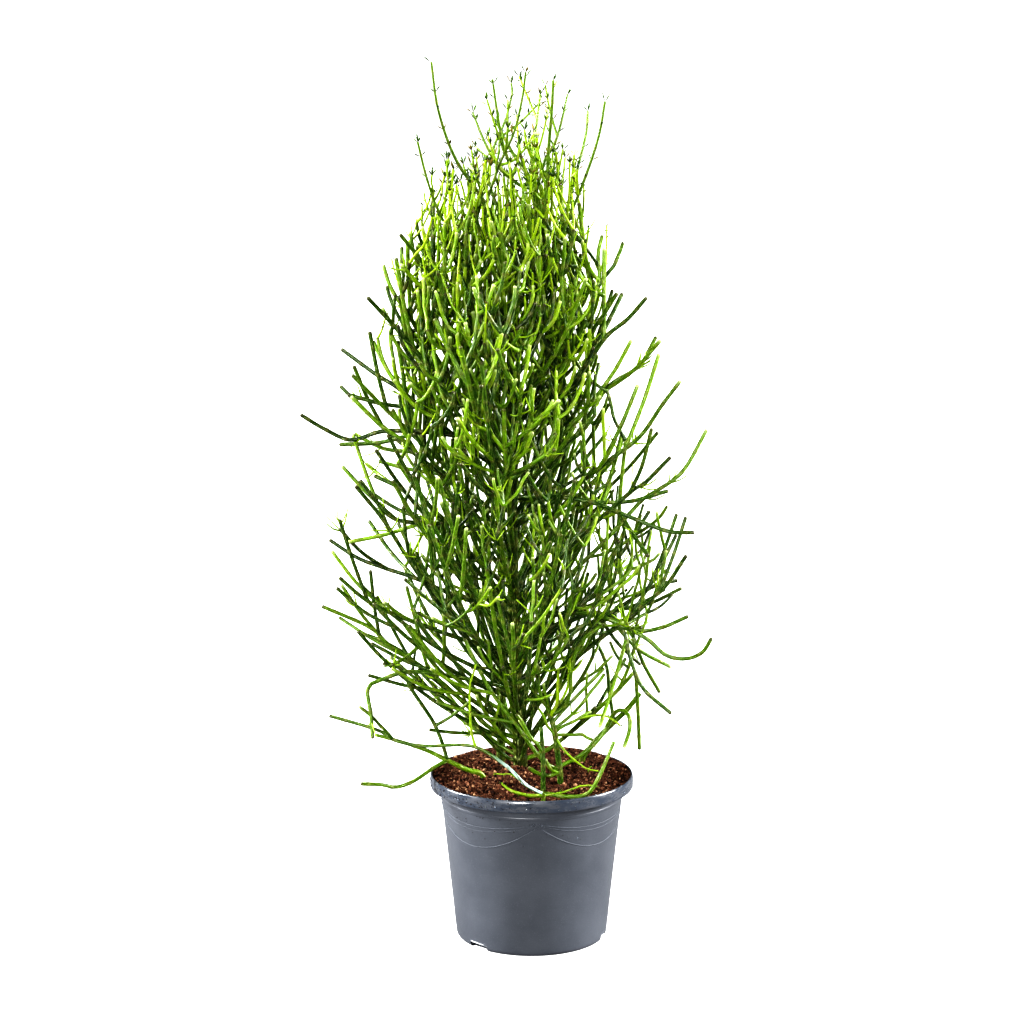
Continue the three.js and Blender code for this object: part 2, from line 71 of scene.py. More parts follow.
# Growth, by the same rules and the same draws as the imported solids

POT_HEIGHT = 247
RIM_RADIUS = 150
RIM_THICKNESS = 3.5
RIM_DROP = 18
WALL_TOP_RADIUS = 135
BASE_RADIUS = 111
WALL = 2
FLOOR = 3
LIP = POT_HEIGHT - RIM_DROP
NOTCH_COUNT = 3
NOTCH_WIDTH = 34
NOTCH_HEIGHT = 9
NOTCH_REACH = 11
NOTCH_TURN = 0.875
SOIL_EDGE = 233
SOIL_HEAP = 12
SOIL_BACK_RISE = 5
BANK_START = 112
BANK_TOP = 244
BANK_TILT = 3
BROAD_WAVE = 1.6
SMALL_WAVE = 1.1
STEM_DEPTH = 55

STEM_STEPS_A_POINT = 3
LIMB_STEPS = 5
TWIG_STEPS = 2
TIP_RADIUS = 2.8
SPACING = 6
CLEAR_OF_OTHER_STEMS = 3
CLEAR_OF_OWN_STEM = 0.5
ROOT_ZONE = 22
FAR_AWAY = 25

FILLS = [["stem_main", 38, 300, 1000], ["stem_second", 15, 330, 960]]
FILL_ATTEMPTS = 8
FILL_CROWDING = 1.1
FILL_SPREAD = 1.15
FILL_SHIFT = 8
FILL_CLIMB = [0.8, 2.1]
FILL_REACH = [0.45, 1]
FILL_RADII = [3.6, 4.2]
FILL_SAG = 0.1
FILL_BENDS = [0.4, 0.75]

TWIG_ATTEMPTS = 6
TWIG_RADII = {300: 2.6, 900: 3.3}
TWIG_LEAN = [0.45, 0.8]
TWIG_SIZE = [0.8, 1.15]
TWIG_LIFT = [0.1, 0.34]
TWIG_LENGTH = 60
TWIG_LENGTH_SHARE = 0.2
STOUT_LIMB = 3.2
LONG_LIMB = 180
PLACES_ON_LONG = [0.4, 0.58, 0.76]
PLACES_ON_SHORT = [0.62]
YOUNG_RADIUS = 1.8
YOUNG_FROM = 880
YOUNG_PLACE = [0.4, 0.8]
YOUNG_LENGTH = [60, 100]

CROWN_TOP = 1270
LOWEST_TIP = 262
CROWN_MIDDLE = -32
CROWN_MARGIN = 20
CROWN_REACH = {250: 150, 320: 205, 450: 235, 600: 245, 750: 230, 900: 195, 1000: 155, 1100: 110, 1200: 85,
    1300: 60}
LIMB_CLIMB = {250: 0.45, 450: 0.8, 650: 1.2, 850: 1.9, 1000: 2.8}

# Stems: radius at the soil, radius at the top, and the points that the stem passes
STEMS = [
    ["stem_main", 10, 4.5, [[-16, 40], [-25, 32, 420], [-29, 20, 655], [-31, 5, 875], [-26, 0, 1040]]],
    ["stem_second", 7, 3.4, [[-46, 74], [-44, 70, 460], [-50, 62, 700], [-56, 52, 880], [-62, 45, 990]]],
    ["stem_left_low", 5.2, 2.9, [[-70, -8], [-97, -16, 256], [-124, -24, 272], [-156, -28, 289],
        [-200, -32, 305], [-228, -34, 313]]],
    ["stem_front_a", 4, 3, [[16, -75], [16, -75, 287], [13, -74, 334]]],
    ["stem_front_b", 5, 3.6, [[42, -42], [38, -43, 285], [32, -45, 326], [25, -46, 352], [23, -46, 372]]],
    ["stem_front_edge", 3.4, 2.5, [[16, -104], [20, -108, 246], [47, -115, 244], [77, -112, 246],
        [94, -114, 269], [117, -104, 321]]],
    ["stem_right_back", 5, 3.6, [[76, 78], [90, 74, 266], [118, 66, 300], [142, 58, 326], [160, 50, 352]]],
]

# Limbs that draw the outline: name, what it grows from, at which height, radius, points that it passes
LIMBS = """
top_a stem_main 1010 2.4  -80 -20 1110  -110 -45 1150  -130 -70 1215  -140 -85 1285
top_b stem_main 880 2.3  -76 -12 965  -120 -20 1050  -145 -45 1110  -160 -70 1175
top_c stem_main 985 3.4  5 0 1065  0 0 1130  -5 0 1175
top_d top_c 1115 2.2  -15 8 1108  -60 30 1150  -85 52 1210
top_e stem_main 1030 2.3  -30 -28 1125  -45 -52 1185  -55 -70 1255
top_f stem_main 1020 2.3  -65 38 1130  -45 55 1175  -30 70 1230  -30 74 1250
top_g stem_main 960 2.2  -70 -22 1075  -35 -26 1160  -15 -38 1225  -10 -46 1270
top_h stem_main 975 2.8  15 -24 1070  20 -42 1125  25 -66 1205  28 -82 1260
top_i top_c 1100 2.2  15 14 1140  35 34 1175  50 56 1235
top_j stem_main 860 2.8  22 18 970  50 40 1080  75 66 1165  80 80 1210
top_k stem_main 895 2.5  24 -18 995  60 -34 1090  90 -52 1170  100 -64 1230
left_a stem_main 825 4.1  -80 -8 895  -130 -20 965  -160 -35 1010  -185 -60 1045
left_b stem_second 720 4  -108 35 808  -160 30 895  -200 45 950  -215 60 990
left_c stem_main 715 4  -95 -20 790  -155 -40 865  -195 -55 915  -230 -90 960
left_d stem_second 690 3.9  -120 20 755  -180 25 805  -215 30 830  -275 40 870
left_e stem_main 610 3.8  -95 -5 675  -155 -20 740  -205 -30 790  -255 -50 845
left_f stem_second 600 3.8  -100 50 655  -155 40 705  -215 55 750  -280 80 810
left_g stem_main 720 4  -75 -10 745  -130 -14 757  -210 -15 760  -260 -20 748  -300 -25 765  -330 -30 785
left_h stem_main 345 3.5  -88 -18 445  -160 -30 545  -205 -55 625  -250 -80 690
left_i stem_second 520 3.7  -110 40 585  -165 35 635  -185 45 660  -230 60 680
left_j stem_main 590 3.8  -75 -14 612  -120 -28 625  -165 -40 630  -205 -48 642  -245 -60 695
left_k stem_second 475 3.6  -130 25 515  -195 20 545  -245 25 560  -295 30 590
left_l stem_main 420 3.6  -110 -5 452  -190 -30 490  -235 -50 515  -275 -70 555
left_m stem_main 288 3.6  -62 20 310  -95 8 347  -149 -12 402  -207 -24 446  -235 -30 471  -302 -42 507
left_s stem_main 252 3.3  -47 22 271  -88 4 325  -113 -6 351  -165 -18 389
left_n stem_second 295 3.4  -135 40 370  -200 60 420  -250 90 435
left_o stem_main 365 3.5  -100 -30 398  -175 -50 413  -218 -62 404  -236 -72 394  -232 -82 355  \
     -230 -90 325
left_p stem_left_low 272 2.8  -149 -38 261  -186 -60 244  -213 -78 250  -246 -92 256
left_q stem_left_low 272 2.8  -129 -26 291  -137 -28 314  -147 -30 338  -174 -38 382  -191 -46 415  \
     -214 -54 425
left_r left_q 327 2.4  -112 -30 344  -89 -32 365
right_a stem_main 700 4  0 8 765  42 8 845  75 10 915  95 15 970  95 25 1010  100 30 1035
right_b right_a 965 3  120 22 1000  130 32 1025
right_c stem_main 720 4  22 -8 788  75 -20 855  105 -30 900  135 -40 925  160 -50 955
right_d stem_main 625 3.9  20 20 690  70 20 755  110 35 815  155 45 845  180 60 885
right_e stem_main 610 3.8  20 0 645  85 -10 695  115 -20 720  155 -28 755  185 -34 800  210 -40 835
right_f stem_main 455 3.6  30 24 515  100 20 585  160 30 650  180 35 660  220 40 690  255 50 750
right_g stem_main 500 3.7  30 -2 562  90 -25 625  145 -45 680  160 -55 690  195 -70 730
right_h stem_main 655 3.9  30 -14 664  85 -35 660  130 -55 645  190 -75 625  228 -92 626
right_i stem_main 335 3.4  38 12 395  100 -2 450  150 -20 495  190 -40 535  220 -60 585
right_j stem_main 375 3.5  35 36 415  100 40 465  170 55 510  215 75 520
right_k stem_main 430 3.6  30 18 458  95 18 484  150 22 458  190 34 458  230 45 472
right_l stem_main 445 3.6  20 0 482  90 -30 492  160 -50 465  192 -62 440  222 -72 438  244 -82 450  \
     256 -88 470
right_m stem_main 415 3.6  30 -12 452  100 -26 484  130 -36 475  142 -46 435  160 -56 390  200 -66 355
right_n stem_main 254 3.4  20 52 264  48 56 284  98 46 330  136 36 371  150 30 390
front_lean stem_front_b 345 2.8  50 -51 366  57 -55 400  65 -58 451  102 -66 486
front_over stem_front_b 262 3.2  13 -50 280  -25 -52 338  -61 -48 384  -87 -44 436  -97 -42 458
front_stub stem_front_b 262 3  24 -54 256  -4 -58 270
front_side stem_front_b 268 3  70 -30 280  98 -26 306  118 -22 340
front_hook front_side 325 3  124 -36 352  138 -52 350  143 -60 332  134 -64 304
front_twig stem_front_a 300 2.6  -6 -84 330  -22 -88 358
edge_left stem_front_edge 244 2.5  -10 -106 260  -39 -98 286  -87 -84 310  -155 -70 307  -197 -62 312  \
     -226 -58 327  -293 -50 346
edge_tip edge_left 315 2.4  -224 -66 341  -249 -70 365
"""

UP = np.array([0.0, 0.0, 1.0])
SEED_STEP = [1664525, 1013904223, 4294967296]
seed = 64


def draw(span):
    global seed
    seed = (seed * SEED_STEP[0] + SEED_STEP[1]) % SEED_STEP[2]
    return span[0] + (span[1] - span[0]) * (seed / SEED_STEP[2])


def read(table, height):
    return float(np.interp(height, *zip(*table.items())))


def unit(v):
    return v / math.sqrt(v @ v)


def square_to(direction):
    return unit(np.cross(direction, [1, 0, 0] if abs(direction[2]) > 0.8 else [0, 0, 1]))


def curve(points, places):
    """A smooth curve through points, read at places that count from 0 at the first point."""
    span = np.minimum(np.floor(places).astype(int), len(points) - 2)
    t = (places - span)[:, None]
    ends = np.concatenate([[2 * points[0] - points[1]], points, [2 * points[-1] - points[-2]]])
    a, b, c, d = (ends[span + k] for k in range(4))
    return 0.5 * (2 * b + (c - a) * t + (2 * a - 5 * b + 4 * c - d) * t * t
                  + (3 * b - a - 3 * c + d) * t * t * t)


def smooth(points, steps):
    points = np.array(points, float)
    return curve(points, (len(points) - 1) * np.arange(steps + 1) / steps)


def soil_top(x, y):
    radius = np.hypot(x, y)
    share = radius / (WALL_TOP_RADIUS - WALL)
    heap = SOIL_HEAP * (1 - share * share) + SOIL_BACK_RISE * share * y / WALL_TOP_RADIUS
    broad = BROAD_WAVE * np.sin(x * 0.13 + 1) * np.sin(y * 0.11 + 2)
    small = SMALL_WAVE * np.sin(x * 0.31) * np.cos(y * 0.27)
    bed = SOIL_EDGE + heap + broad + small
    bank = BANK_TOP + BANK_TILT * y / RIM_RADIUS
    t = np.clip((radius - BANK_START) / (RIM_RADIUS - RIM_THICKNESS - BANK_START), 0, 1)
    return bed + (bank - bed) * t * t * (3 - 2 * t)


branches = []
# Places taken by branches: x, y, z, radius and the number of the stem
taken = np.zeros((0, 5))
STEM_NAMES = [stem[0] for stem in STEMS]


def samples(path):
    rows = []
    for a, b in zip(path[:-1], path[1:]):
        count = math.ceil(math.dist(a, b) / SPACING)
        rows.append(a + (b - a) * (np.arange(1, count + 1) / count)[:, None])
    return np.concatenate(rows)


def within(points, box):
    """Whether each point lies inside a box, given by its lowest and its highest corner."""
    return ((points > box[0]) & (points < box[1])).all(axis=-1)


def fits(path, radius, stem):
    """True where a branch stays clear of all others, but for its own stem near its root."""
    points = samples(path)
    near = taken[within(taken[:, :3], [points.min(0) - FAR_AWAY, points.max(0) + FAR_AWAY])]
    gaps = np.linalg.norm(points[:, None] - near[None, :, :3], axis=2)
    own = near[:, 4] == STEM_NAMES.index(stem)
    room = radius + near[:, 3] + np.where(own, CLEAR_OF_OWN_STEM, CLEAR_OF_OTHER_STEMS)
    at_root = np.linalg.norm(points - path[0], axis=1) < ROOT_ZONE
    return not ((gaps <= room) & ~(at_root[:, None] & own)).any()


def keep(name, stem, path, radii, kind, parent=None, place=0.0):
    global taken
    branches.append(SimpleNamespace(name=name, stem=stem, path=path, radii=radii, kind=kind, parent=parent,
                                    place=place, children=[]))
    if parent:
        parent.children.append(place)
    points = samples(path)
    marks = np.tile([radii[0], STEM_NAMES.index(stem)], (len(points), 1))
    taken = np.concatenate([taken, np.hstack([points, marks])])


def place_at(path, height):
    for i in range(1, len(path)):
        low, high = path[i - 1][2], path[i][2]
        if (low - height) * (high - height) <= 0 and low != high:
            return i - 1 + (height - low) / (high - low)
    return float(len(path) - 1)


def point_at(path, place):
    span = min(int(place), len(path) - 2)
    return path[span] + (path[span + 1] - path[span]) * (place - span)


def direction_at(path, place):
    span = min(int(place), len(path) - 2)
    return unit(path[span + 1] - path[span])


def branch_named(name):
    return next(branch for branch in branches if branch.name == name)


def plant_stem(name, radius, top_radius, points):
    x, y = points[0]
    ground = float(soil_top(x, y))
    path = [[x, y, ground - STEM_DEPTH], [x, y, ground], *points[1:]]
    keep(name, name, smooth(path, len(path) * STEM_STEPS_A_POINT), [radius, top_radius], "stem")


def grow_limb(name, parent_name, *numbers):
    """A limb from the words of a row of the tables."""
    height, radius, *numbers = map(float, numbers)
    points = np.reshape(numbers, (-1, 3))
    parent = branch_named(parent_name)
    place = place_at(parent.path, height)
    path = smooth([point_at(parent.path, place), *points], max(LIMB_STEPS, len(points)))
    keep(name, parent.stem, path, [radius, min(radius, TIP_RADIUS)], "limb", parent, place)


def fill_limb(root, height, turn, climb, share):
    rise = min(read(CROWN_REACH, height) * read(LIMB_CLIMB, height) * climb, CROWN_TOP - height)
    reach = read(CROWN_REACH, height + rise) * share
    tip = np.array([CROWN_MIDDLE + math.cos(turn) * reach, math.sin(turn) * reach, root[2] + rise])
    bend = [root + (tip - root) * part - UP * FILL_SAG * rise for part in FILL_BENDS]
    return smooth([root, *bend, tip], LIMB_STEPS)


def side_limb(parent, i, height):
    turn = (i % 2 - 0.5) * math.pi + draw([-FILL_SPREAD, FILL_SPREAD])
    at = height + draw([-FILL_SHIFT, FILL_SHIFT])
    place = place_at(parent.path, at)
    return place, fill_limb(point_at(parent.path, place), at, turn, draw(FILL_CLIMB), draw(FILL_REACH))


def fill_stem(limb_at, crowding, radii, name, count, low, high):
    """Limbs all along a stem, each tried at a few places until it is clear of the others."""
    parent = branch_named(name)
    for i in range(count):
        share = ((i + 0.5) / count) ** crowding
        radius = radii[0] + (radii[1] - radii[0]) * share
        for _ in range(FILL_ATTEMPTS):
            place, path = limb_at(parent, i, low + (high - low) * share)
            if path is not None and fits(path, radius, name):
                keep("", name, path, [radius, TIP_RADIUS], "limb", parent, place)
                break


def twig_path(root, along, lean, length, lift, steps=TWIG_STEPS, around=None):
    if around is None:
        around = draw([0, 2 * math.pi])
    side = square_to(along)
    away = side * math.cos(around) + np.cross(along, side) * math.sin(around)
    direction = unit(along * math.cos(lean) + away * math.sin(lean))
    path = [root]
    for step in range(steps):
        path.append(path[step] + direction * length / steps)
        direction = unit(direction + UP * lift)
    return np.array(path)


def in_crown(point):
    reach = read(CROWN_REACH, point[2]) + CROWN_MARGIN
    return math.hypot(point[0] - CROWN_MIDDLE, point[1]) < reach and LOWEST_TIP < point[2] < CROWN_TOP


def grow_twig(parent, share, length, radius, kind):
    place = share * (len(parent.path) - 1)
    along = direction_at(parent.path, place)
    root = point_at(parent.path, place)
    for _ in range(TWIG_ATTEMPTS):
        path = twig_path(root, along, draw(TWIG_LEAN), length * draw(TWIG_SIZE), draw(TWIG_LIFT))
        if in_crown(path[-1]) and fits(path, radius, parent.stem):
            keep("", parent.stem, path, [radius, radius], kind, parent, place)
            break


def length_of(path):
    return float(np.linalg.norm(np.diff(path, axis=0), axis=1).sum())


def grow_solids():
    for stem in STEMS:
        plant_stem(*stem)
    for row in LIMBS.split("\n")[1:-1]:
        grow_limb(*row.split())
    for fill in FILLS:
        fill_stem(side_limb, FILL_CROWDING, FILL_RADII, *fill)
    for limb in [b for b in branches if b.kind == "limb" and b.radii[0] >= STOUT_LIMB]:
        length = length_of(limb.path)
        for share in PLACES_ON_LONG if length > LONG_LIMB else PLACES_ON_SHORT:
            radius = read(TWIG_RADII, limb.path[0][2])
            grow_twig(limb, share, TWIG_LENGTH + TWIG_LENGTH_SHARE * length, radius, "twig")
    for parent in [b for b in branches if b.kind != "stem" and b.path[0][2] > YOUNG_FROM]:
        grow_twig(parent, draw(YOUNG_PLACE), draw(YOUNG_LENGTH), YOUNG_RADIUS, "young")


grow_solids()

# More growth of the same kind, which only the looks have

EXTRA_STEPS = 4
NODE_GAP = 42
NODE_SHIFT = 0.3
NODED_SHARE = 0.8
ARM_ATTEMPTS = 3
ARM_SWING = 0.4
SLIMMER = 0.94
HIGHEST = {"limb": 1050, "extra": 1110, "outer": 1130, "shoot": 1210}
CROWN_SLOPE = 0.55
FULLNESS = {"extra": [0.6, 1.25], "outer": [0.6, 1.25], "shoot": [0.6, 1.2]}
DENSE_REACH = {250: 100, 300: 110, 380: 130, 440: 150, 500: 170, 615: 178, 670: 150, 730: 130, 790: 142,
    905: 150, 960: 140, 1020: 125, 1100: 118, 1165: 100}
DENSE_MIDDLE = {330: -8, 440: -10, 500: 4, 615: 10, 670: -14, 730: -34, 845: -48, 905: -46, 1020: -42,
    1100: -40, 1165: -30}
INNER_LIMBS = [["stem_main", 30, 250, 400], ["stem_main", 96, 252, 1050], ["stem_second", 34, 262, 985]]
INNER_CROWDING = 1.15
INNER_RISE = [90, 360]
INNER_REACH = [0.1, 0.95]
INNER_RADII = [2.9, 3.6]
TWIG_CHANCE = {280: 0.5, 400: 0.5, 470: 0.75, 650: 0.75, 800: 1.0, 1000: 1.0, 1100: 0.8}
OUTER_CHANCE = {280: 0.2, 400: 0.25, 470: 0.5, 650: 0.55, 800: 0.9, 1000: 1.0, 1100: 0.8}
SHOOT_CHANCE = {450: 0.0, 650: 0.03, 850: 0.05, 950: 0.2, 1030: 1.0, 1200: 1.0}
EXTRA_RADII = {300: 2.1, 600: 2.5, 800: 3.0, 880: 3.5, 950: 3.5}
LEANING = {300: 0.9, 500: 1.05, 700: 1.15, 900: 1.25}
CURLING = {300: 0.3, 600: 0.5, 800: 0.9, 950: 1.3}
# The part of the trunk that stays in view from the front, and the clearing at the front: their corners
TRUNK_VIEW = [[-40, -math.inf, 370], [-10, -6, 650]]
CLEARING = [[-80, -math.inf, -math.inf], [130, -48, 350]]
DROOP = 12
SPRIG_CHANCE = {240: 0.03, 450: 0.08, 600: 0.11, 800: 0.1, 1000: 0.16, 1100: 0.12, 1150: 0.0}
SPRIG_GAP = 30
SPRIG_PLACE = [0.3, 0.9]
SPRIG_ARMS = [1.5, 5.5]
SPRIG_SWING = 0.5
SPRIG_LEAN = [0.4, 1.1]
SPRIG_LENGTH = [10, 34]
SPRIG_LIFT = [0.2, 0.5]
SPRIG_RADIUS = [1.1, 1.6]
SPRIG_TAPER = 0.8

# Low shoots that the photo shows singly: kind, and then as in the table of limbs
LOW_SHOOTS = """
young edge_up edge_left 308 2  -89 -87 350  -88 -88 410  -81 -88 432
young edge_side stem_front_edge 243 1.8  29 -113 247  57 -108 251  70 -106 258  93 -104 256
young edge_stub stem_front_edge 243 3  -10 -114 245  -32 -110 252  -43 -104 260
young edge_pale edge_left 264 1.5  -25 -98 270  -39 -98 273  -51 -98 273
limb front_fan_a stem_front_b 345 2.2  19 -54 362  6 -60 379  -7 -64 396
twig front_fan_b stem_front_b 350 2.2  20 -56 381  17 -60 397
limb front_fan_c stem_front_b 358 2.9  11 -62 388  8 -68 412  6 -72 429
young front_fan_d stem_front_b 345 3.4  36 -52 365  38 -54 417
young front_fan_e stem_front_b 348 2.3  48 -48 377  52 -50 400  56 -52 426  59 -54 449
limb front_fan_f stem_front_b 335 2.5  60 -40 367  89 -32 395  104 -28 411
limb front_fan_g stem_front_b 325 2.4  67 -38 356  88 -32 380  105 -26 402
limb front_fan_h stem_front_b 320 2.3  60 -38 335  85 -30 347
limb front_fan_i stem_front_b 316 2.3  70 -40 316  88 -38 307
twig front_fan_j stem_front_b 312 2.1  25 -56 331  16 -62 346  9 -66 362
twig front_hook_pale stem_front_a 312 1.5  0 -82 319  -7 -85 327  -19 -88 349
twig front_low stem_front_b 256 2.5  28 -58 268  20 -62 283
young front_drop stem_front_b 316 1.9  45 -52 300  55 -56 286  76 -60 273  96 -60 266
young front_leafy front_fan_h 340 2.2  104 -30 342  115 -34 337  128 -38 329
limb back_up stem_right_back 306 2.8  117 60 349  111 57 395  94 52 435
"""
BARE = ("stem", "edge", "front", "left_p", "left_q", "left_r")
BOX_MARGIN = 3
BOX = [np.array(cad_low) / MM + BOX_MARGIN, np.array(cad_high) / MM - BOX_MARGIN]


def in_box(point):
    """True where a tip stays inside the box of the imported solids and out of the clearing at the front."""
    return within(point, BOX) and not within(point, CLEARING)


def beside_trunk(path):
    """True where a branch leaves the middle of the trunk in view from the front."""
    return not within(path[1:], TRUNK_VIEW).any()


def room_at(point, kind):
    """True where the crown is likely to hold a tip: always near its middle, seldom at its edge."""
    away = math.hypot(point[0] - read(DENSE_MIDDLE, point[2]), point[1])
    highest = HIGHEST[kind] - CROWN_SLOPE * away
    return (away / read(DENSE_REACH, point[2]) < draw(FULLNESS[kind]) and LOWEST_TIP < point[2] < highest
            and in_crown(point) and in_box(point))


def inner_limb(parent, _, height):
    at = height + draw([-FILL_SHIFT, FILL_SHIFT])
    place = place_at(parent.path, at)
    climb = draw(INNER_RISE) / (read(CROWN_REACH, at) * read(LIMB_CLIMB, at))
    path = fill_limb(point_at(parent.path, place), at, draw([0, 2 * math.pi]), climb, draw(INNER_REACH))
    return place, path if path[-1][2] < HIGHEST["limb"] and beside_trunk(path) else None


def grow_more(parents, kind, chance, lengths, radii, lean, lift):
    """Forks at the tips and along the outer part of the parents, each arm where there is room for it."""
    for parent in parents:
        spots = max(1, round(NODED_SHARE * length_of(parent.path) / NODE_GAP))
        for i in range(1 if parent.name else 0, spots):
            share = 1 if i == 0 else 1 - NODED_SHARE * (i + draw([-NODE_SHIFT, NODE_SHIFT])) / spots
            place = share * (len(parent.path) - 1)
            root = point_at(parent.path, place)
            if draw([0, 1]) > read(chance, root[2]):
                continue
            along = direction_at(parent.path, place)
            radius = min(draw(radii) * read(EXTRA_RADII, root[2]), parent.radii[1])
            count = 2 + round(draw([0, 1])) if i == 0 else 1 + round(draw([0, 0.9]))
            turn = draw([0, 2 * math.pi])
            for arm in range(count):
                for attempt in range(1, ARM_ATTEMPTS + 1):
                    around = turn + 2 * math.pi * arm / count + draw([-ARM_SWING, ARM_SWING]) * attempt
                    path = twig_path(root, along, draw(lean) * read(LEANING, root[2]), draw(lengths),
                                     draw(lift) * read(CURLING, root[2]), EXTRA_STEPS, around)
                    if (path[-1][2] > path[0][2] - DROOP and beside_trunk(path) and room_at(path[-1], kind)
                            and fits(path, radius, parent.stem)):
                        keep("", parent.stem, path, [radius, SLIMMER * radius], kind, parent, place)
                        break


def grow_sprigs(parents):
    """Rings of very short thin twigs, which leave no node on their parents."""
    for parent in parents:
        spots = max(1, round(length_of(parent.path) / SPRIG_GAP))
        for i in range(spots):
            place = (i + draw(SPRIG_PLACE)) / spots * (len(parent.path) - 1)
            root = point_at(parent.path, place)
            if draw([0, 1]) > read(SPRIG_CHANCE, root[2]) or root[2] < LOWEST_TIP:
                continue
            along = direction_at(parent.path, place)
            count = round(draw(SPRIG_ARMS))
            turn = draw([0, 2 * math.pi])
            for arm in range(count):
                around = turn + 2 * math.pi * arm / count + draw([-SPRIG_SWING, SPRIG_SWING])
                path = twig_path(root, along, draw(SPRIG_LEAN), draw(SPRIG_LENGTH), draw(SPRIG_LIFT),
                                 TWIG_STEPS, around)
                radius = draw(SPRIG_RADIUS)
                if in_box(path[-1]):
                    keep("", parent.stem, path, [radius, SPRIG_TAPER * radius], "sprig", parent, place)
            parent.children = parent.children[:-count]


def of_kind(*kinds):
    return [branch for branch in branches if branch.kind in kinds]


solid_count = len(branches)
for row in INNER_LIMBS:
    fill_stem(inner_limb, INNER_CROWDING, INNER_RADII, *row)
for row in LOW_SHOOTS.split("\n")[1:-1]:
    kind, *words = row.split()
    grow_limb(*words)
    branches[-1].kind = kind
leafy = [b for b in of_kind("limb", "twig") if not b.name.startswith(BARE)]
grow_more(leafy, "extra", TWIG_CHANCE, [55, 105], [0.92, 1.04], [0.5, 0.95], [0.25, 0.5])
grow_more(of_kind("extra"), "outer", OUTER_CHANCE, [40, 80], [0.86, 0.98], [0.4, 0.85], [0.3, 0.55])
grow_more(of_kind("limb", "twig", "extra", "outer"), "shoot", SHOOT_CHANCE, [35, 90], [0.5, 0.7],
          [0.3, 0.75], [0.25, 0.45])
grow_sprigs([b for b in of_kind("limb", "twig", "extra", "outer") if not b.name.startswith("top_")])

# Meshes

rng = np.random.default_rng(11)


class Build:
    """Vertices in millimetres, faces and per-vertex values of one piece, gathered part by part."""

    def __init__(self):
        self.points = []
        self.faces = []
        self.skins = []
        self.grains = []
        self.count = 0

    def add(self, points, faces, skin=None, grain=None):
        self.points.append(points)
        self.faces.extend(face for group in faces for face in (group + self.count).tolist())
        if skin is not None:
            self.skins.append(np.broadcast_to(skin, points.shape))
        if grain is not None:
            self.grains.append(grain)
        self.count += len(points)

    def make(self, name, material, slot=None, replaces=()):
        mesh = bpy.data.meshes.new(name)
        mesh.from_pydata((np.concatenate(self.points) * MM).tolist(), [], self.faces)
        mesh.polygons.foreach_set("use_smooth", np.ones(len(self.faces), bool))
        if self.skins:
            skin = mesh.color_attributes.new("skin", "FLOAT_COLOR", "POINT")
            rows = np.concatenate(self.skins)
            skin.data.foreach_set("color", np.concatenate([rows, np.ones((len(rows), 1))], axis=1).ravel())
        if self.grains:
            grain = mesh.attributes.new("grain", "FLOAT_VECTOR", "POINT")
            grain.data.foreach_set("vector", np.concatenate(self.grains).ravel())
        mesh.materials.append(material)
        piece = bpy.data.objects.new(name, mesh)
        bpy.context.scene.collection.objects.link(piece)
        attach(piece, "root")
        if replaces:
            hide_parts(*replaces)
        return piece


def frames_of(line):
    """The direction of a line at each of its points, and two directions square to it that don't twist."""
    tangents = np.gradient(line, axis=0)
    tangents /= np.linalg.norm(tangents, axis=1)[:, None]
    side = square_to(tangents[0])
    sides = []
    for tangent in tangents:
        side = unit(side - tangent * (side @ tangent))
        sides.append(side)
    sides = np.array(sides)
    return tangents, sides, np.cross(tangents, sides)


def bands(rings, sides):
    """Faces between rings of vertices, and the two fans that close the ends on the last two vertices."""
    i = np.arange(rings - 1)[:, None] * sides
    j = np.arange(sides)
    k = (j + 1) % sides
    quads = np.stack([i + j, i + k, i + sides + k, i + sides + j], axis=-1).reshape(-1, 4)
    end = (rings - 1) * sides
    root = np.stack([k, j, np.full(sides, rings * sides)], axis=1)
    tip = np.stack([end + j, end + k, np.full(sides, rings * sides + 1)], axis=1)
    return [quads, root, tip]


# The rounded tip of a bar, in radii: two rings (height, radius), the point's height, the root's depth
DOME = [(0.45, 0.9), (0.78, 0.62)]
DOME_HEIGHT = 0.8
ROOT_DEPTH = 0.3


def tube(line, radii, sides):
    """A closed round bar: its vertices, its faces, and for each vertex its ring and its angle."""
    tangents, side, other = frames_of(line)
    rings = len(line)
    root, tip, ahead = line[0] - tangents[0] * radii[0] * ROOT_DEPTH, line[-1], tangents[-1] * radii[-1]
    line = np.concatenate([line, [tip + ahead * DOME_HEIGHT * up for up, _ in DOME]])
    radii = np.concatenate([radii, [radii[-1] * wide for _, wide in DOME]])
    pick = np.minimum(np.arange(len(line)), rings - 1)
    turn = np.arange(sides) * 2 * math.pi / sides
    spoke = (side[pick][:, None] * np.cos(turn)[None, :, None]
             + other[pick][:, None] * np.sin(turn)[None, :, None])
    points = (line[:, None] + spoke * radii[:, None, None]).reshape(-1, 3)
    points = np.concatenate([points, [root, tip + ahead * DOME_HEIGHT]])
    ring = np.concatenate([np.repeat(pick, sides), [0, rings - 1]])
    angle = np.concatenate([np.tile(turn, len(line)), [0, 0]])
    return points, bands(len(line), sides), ring, angle


def measured(control, places):
    """The fine line through control points, how far along it each point lies, and its length."""
    fine = curve(control, places)
    along = np.concatenate([[0], np.cumsum(np.linalg.norm(np.diff(fine, axis=0), axis=1))])
    return fine, along, along[-1]


def rows_at(spots, places, rows):
    """Rows of three values, given at some places, read at other places between them."""
    return np.stack([np.interp(spots, places, rows[:, k]) for k in range(3)], axis=-1)


# Stems

def rgb(red, green, blue):
    """A colour read as the eye sees it, on a scale of 255, as the linear values that shaders take."""
    values = np.array([red, green, blue]) / 255
    return np.where(values <= 0.04045, values / 12.92, ((values + 0.055) / 1.055) ** 2.4)


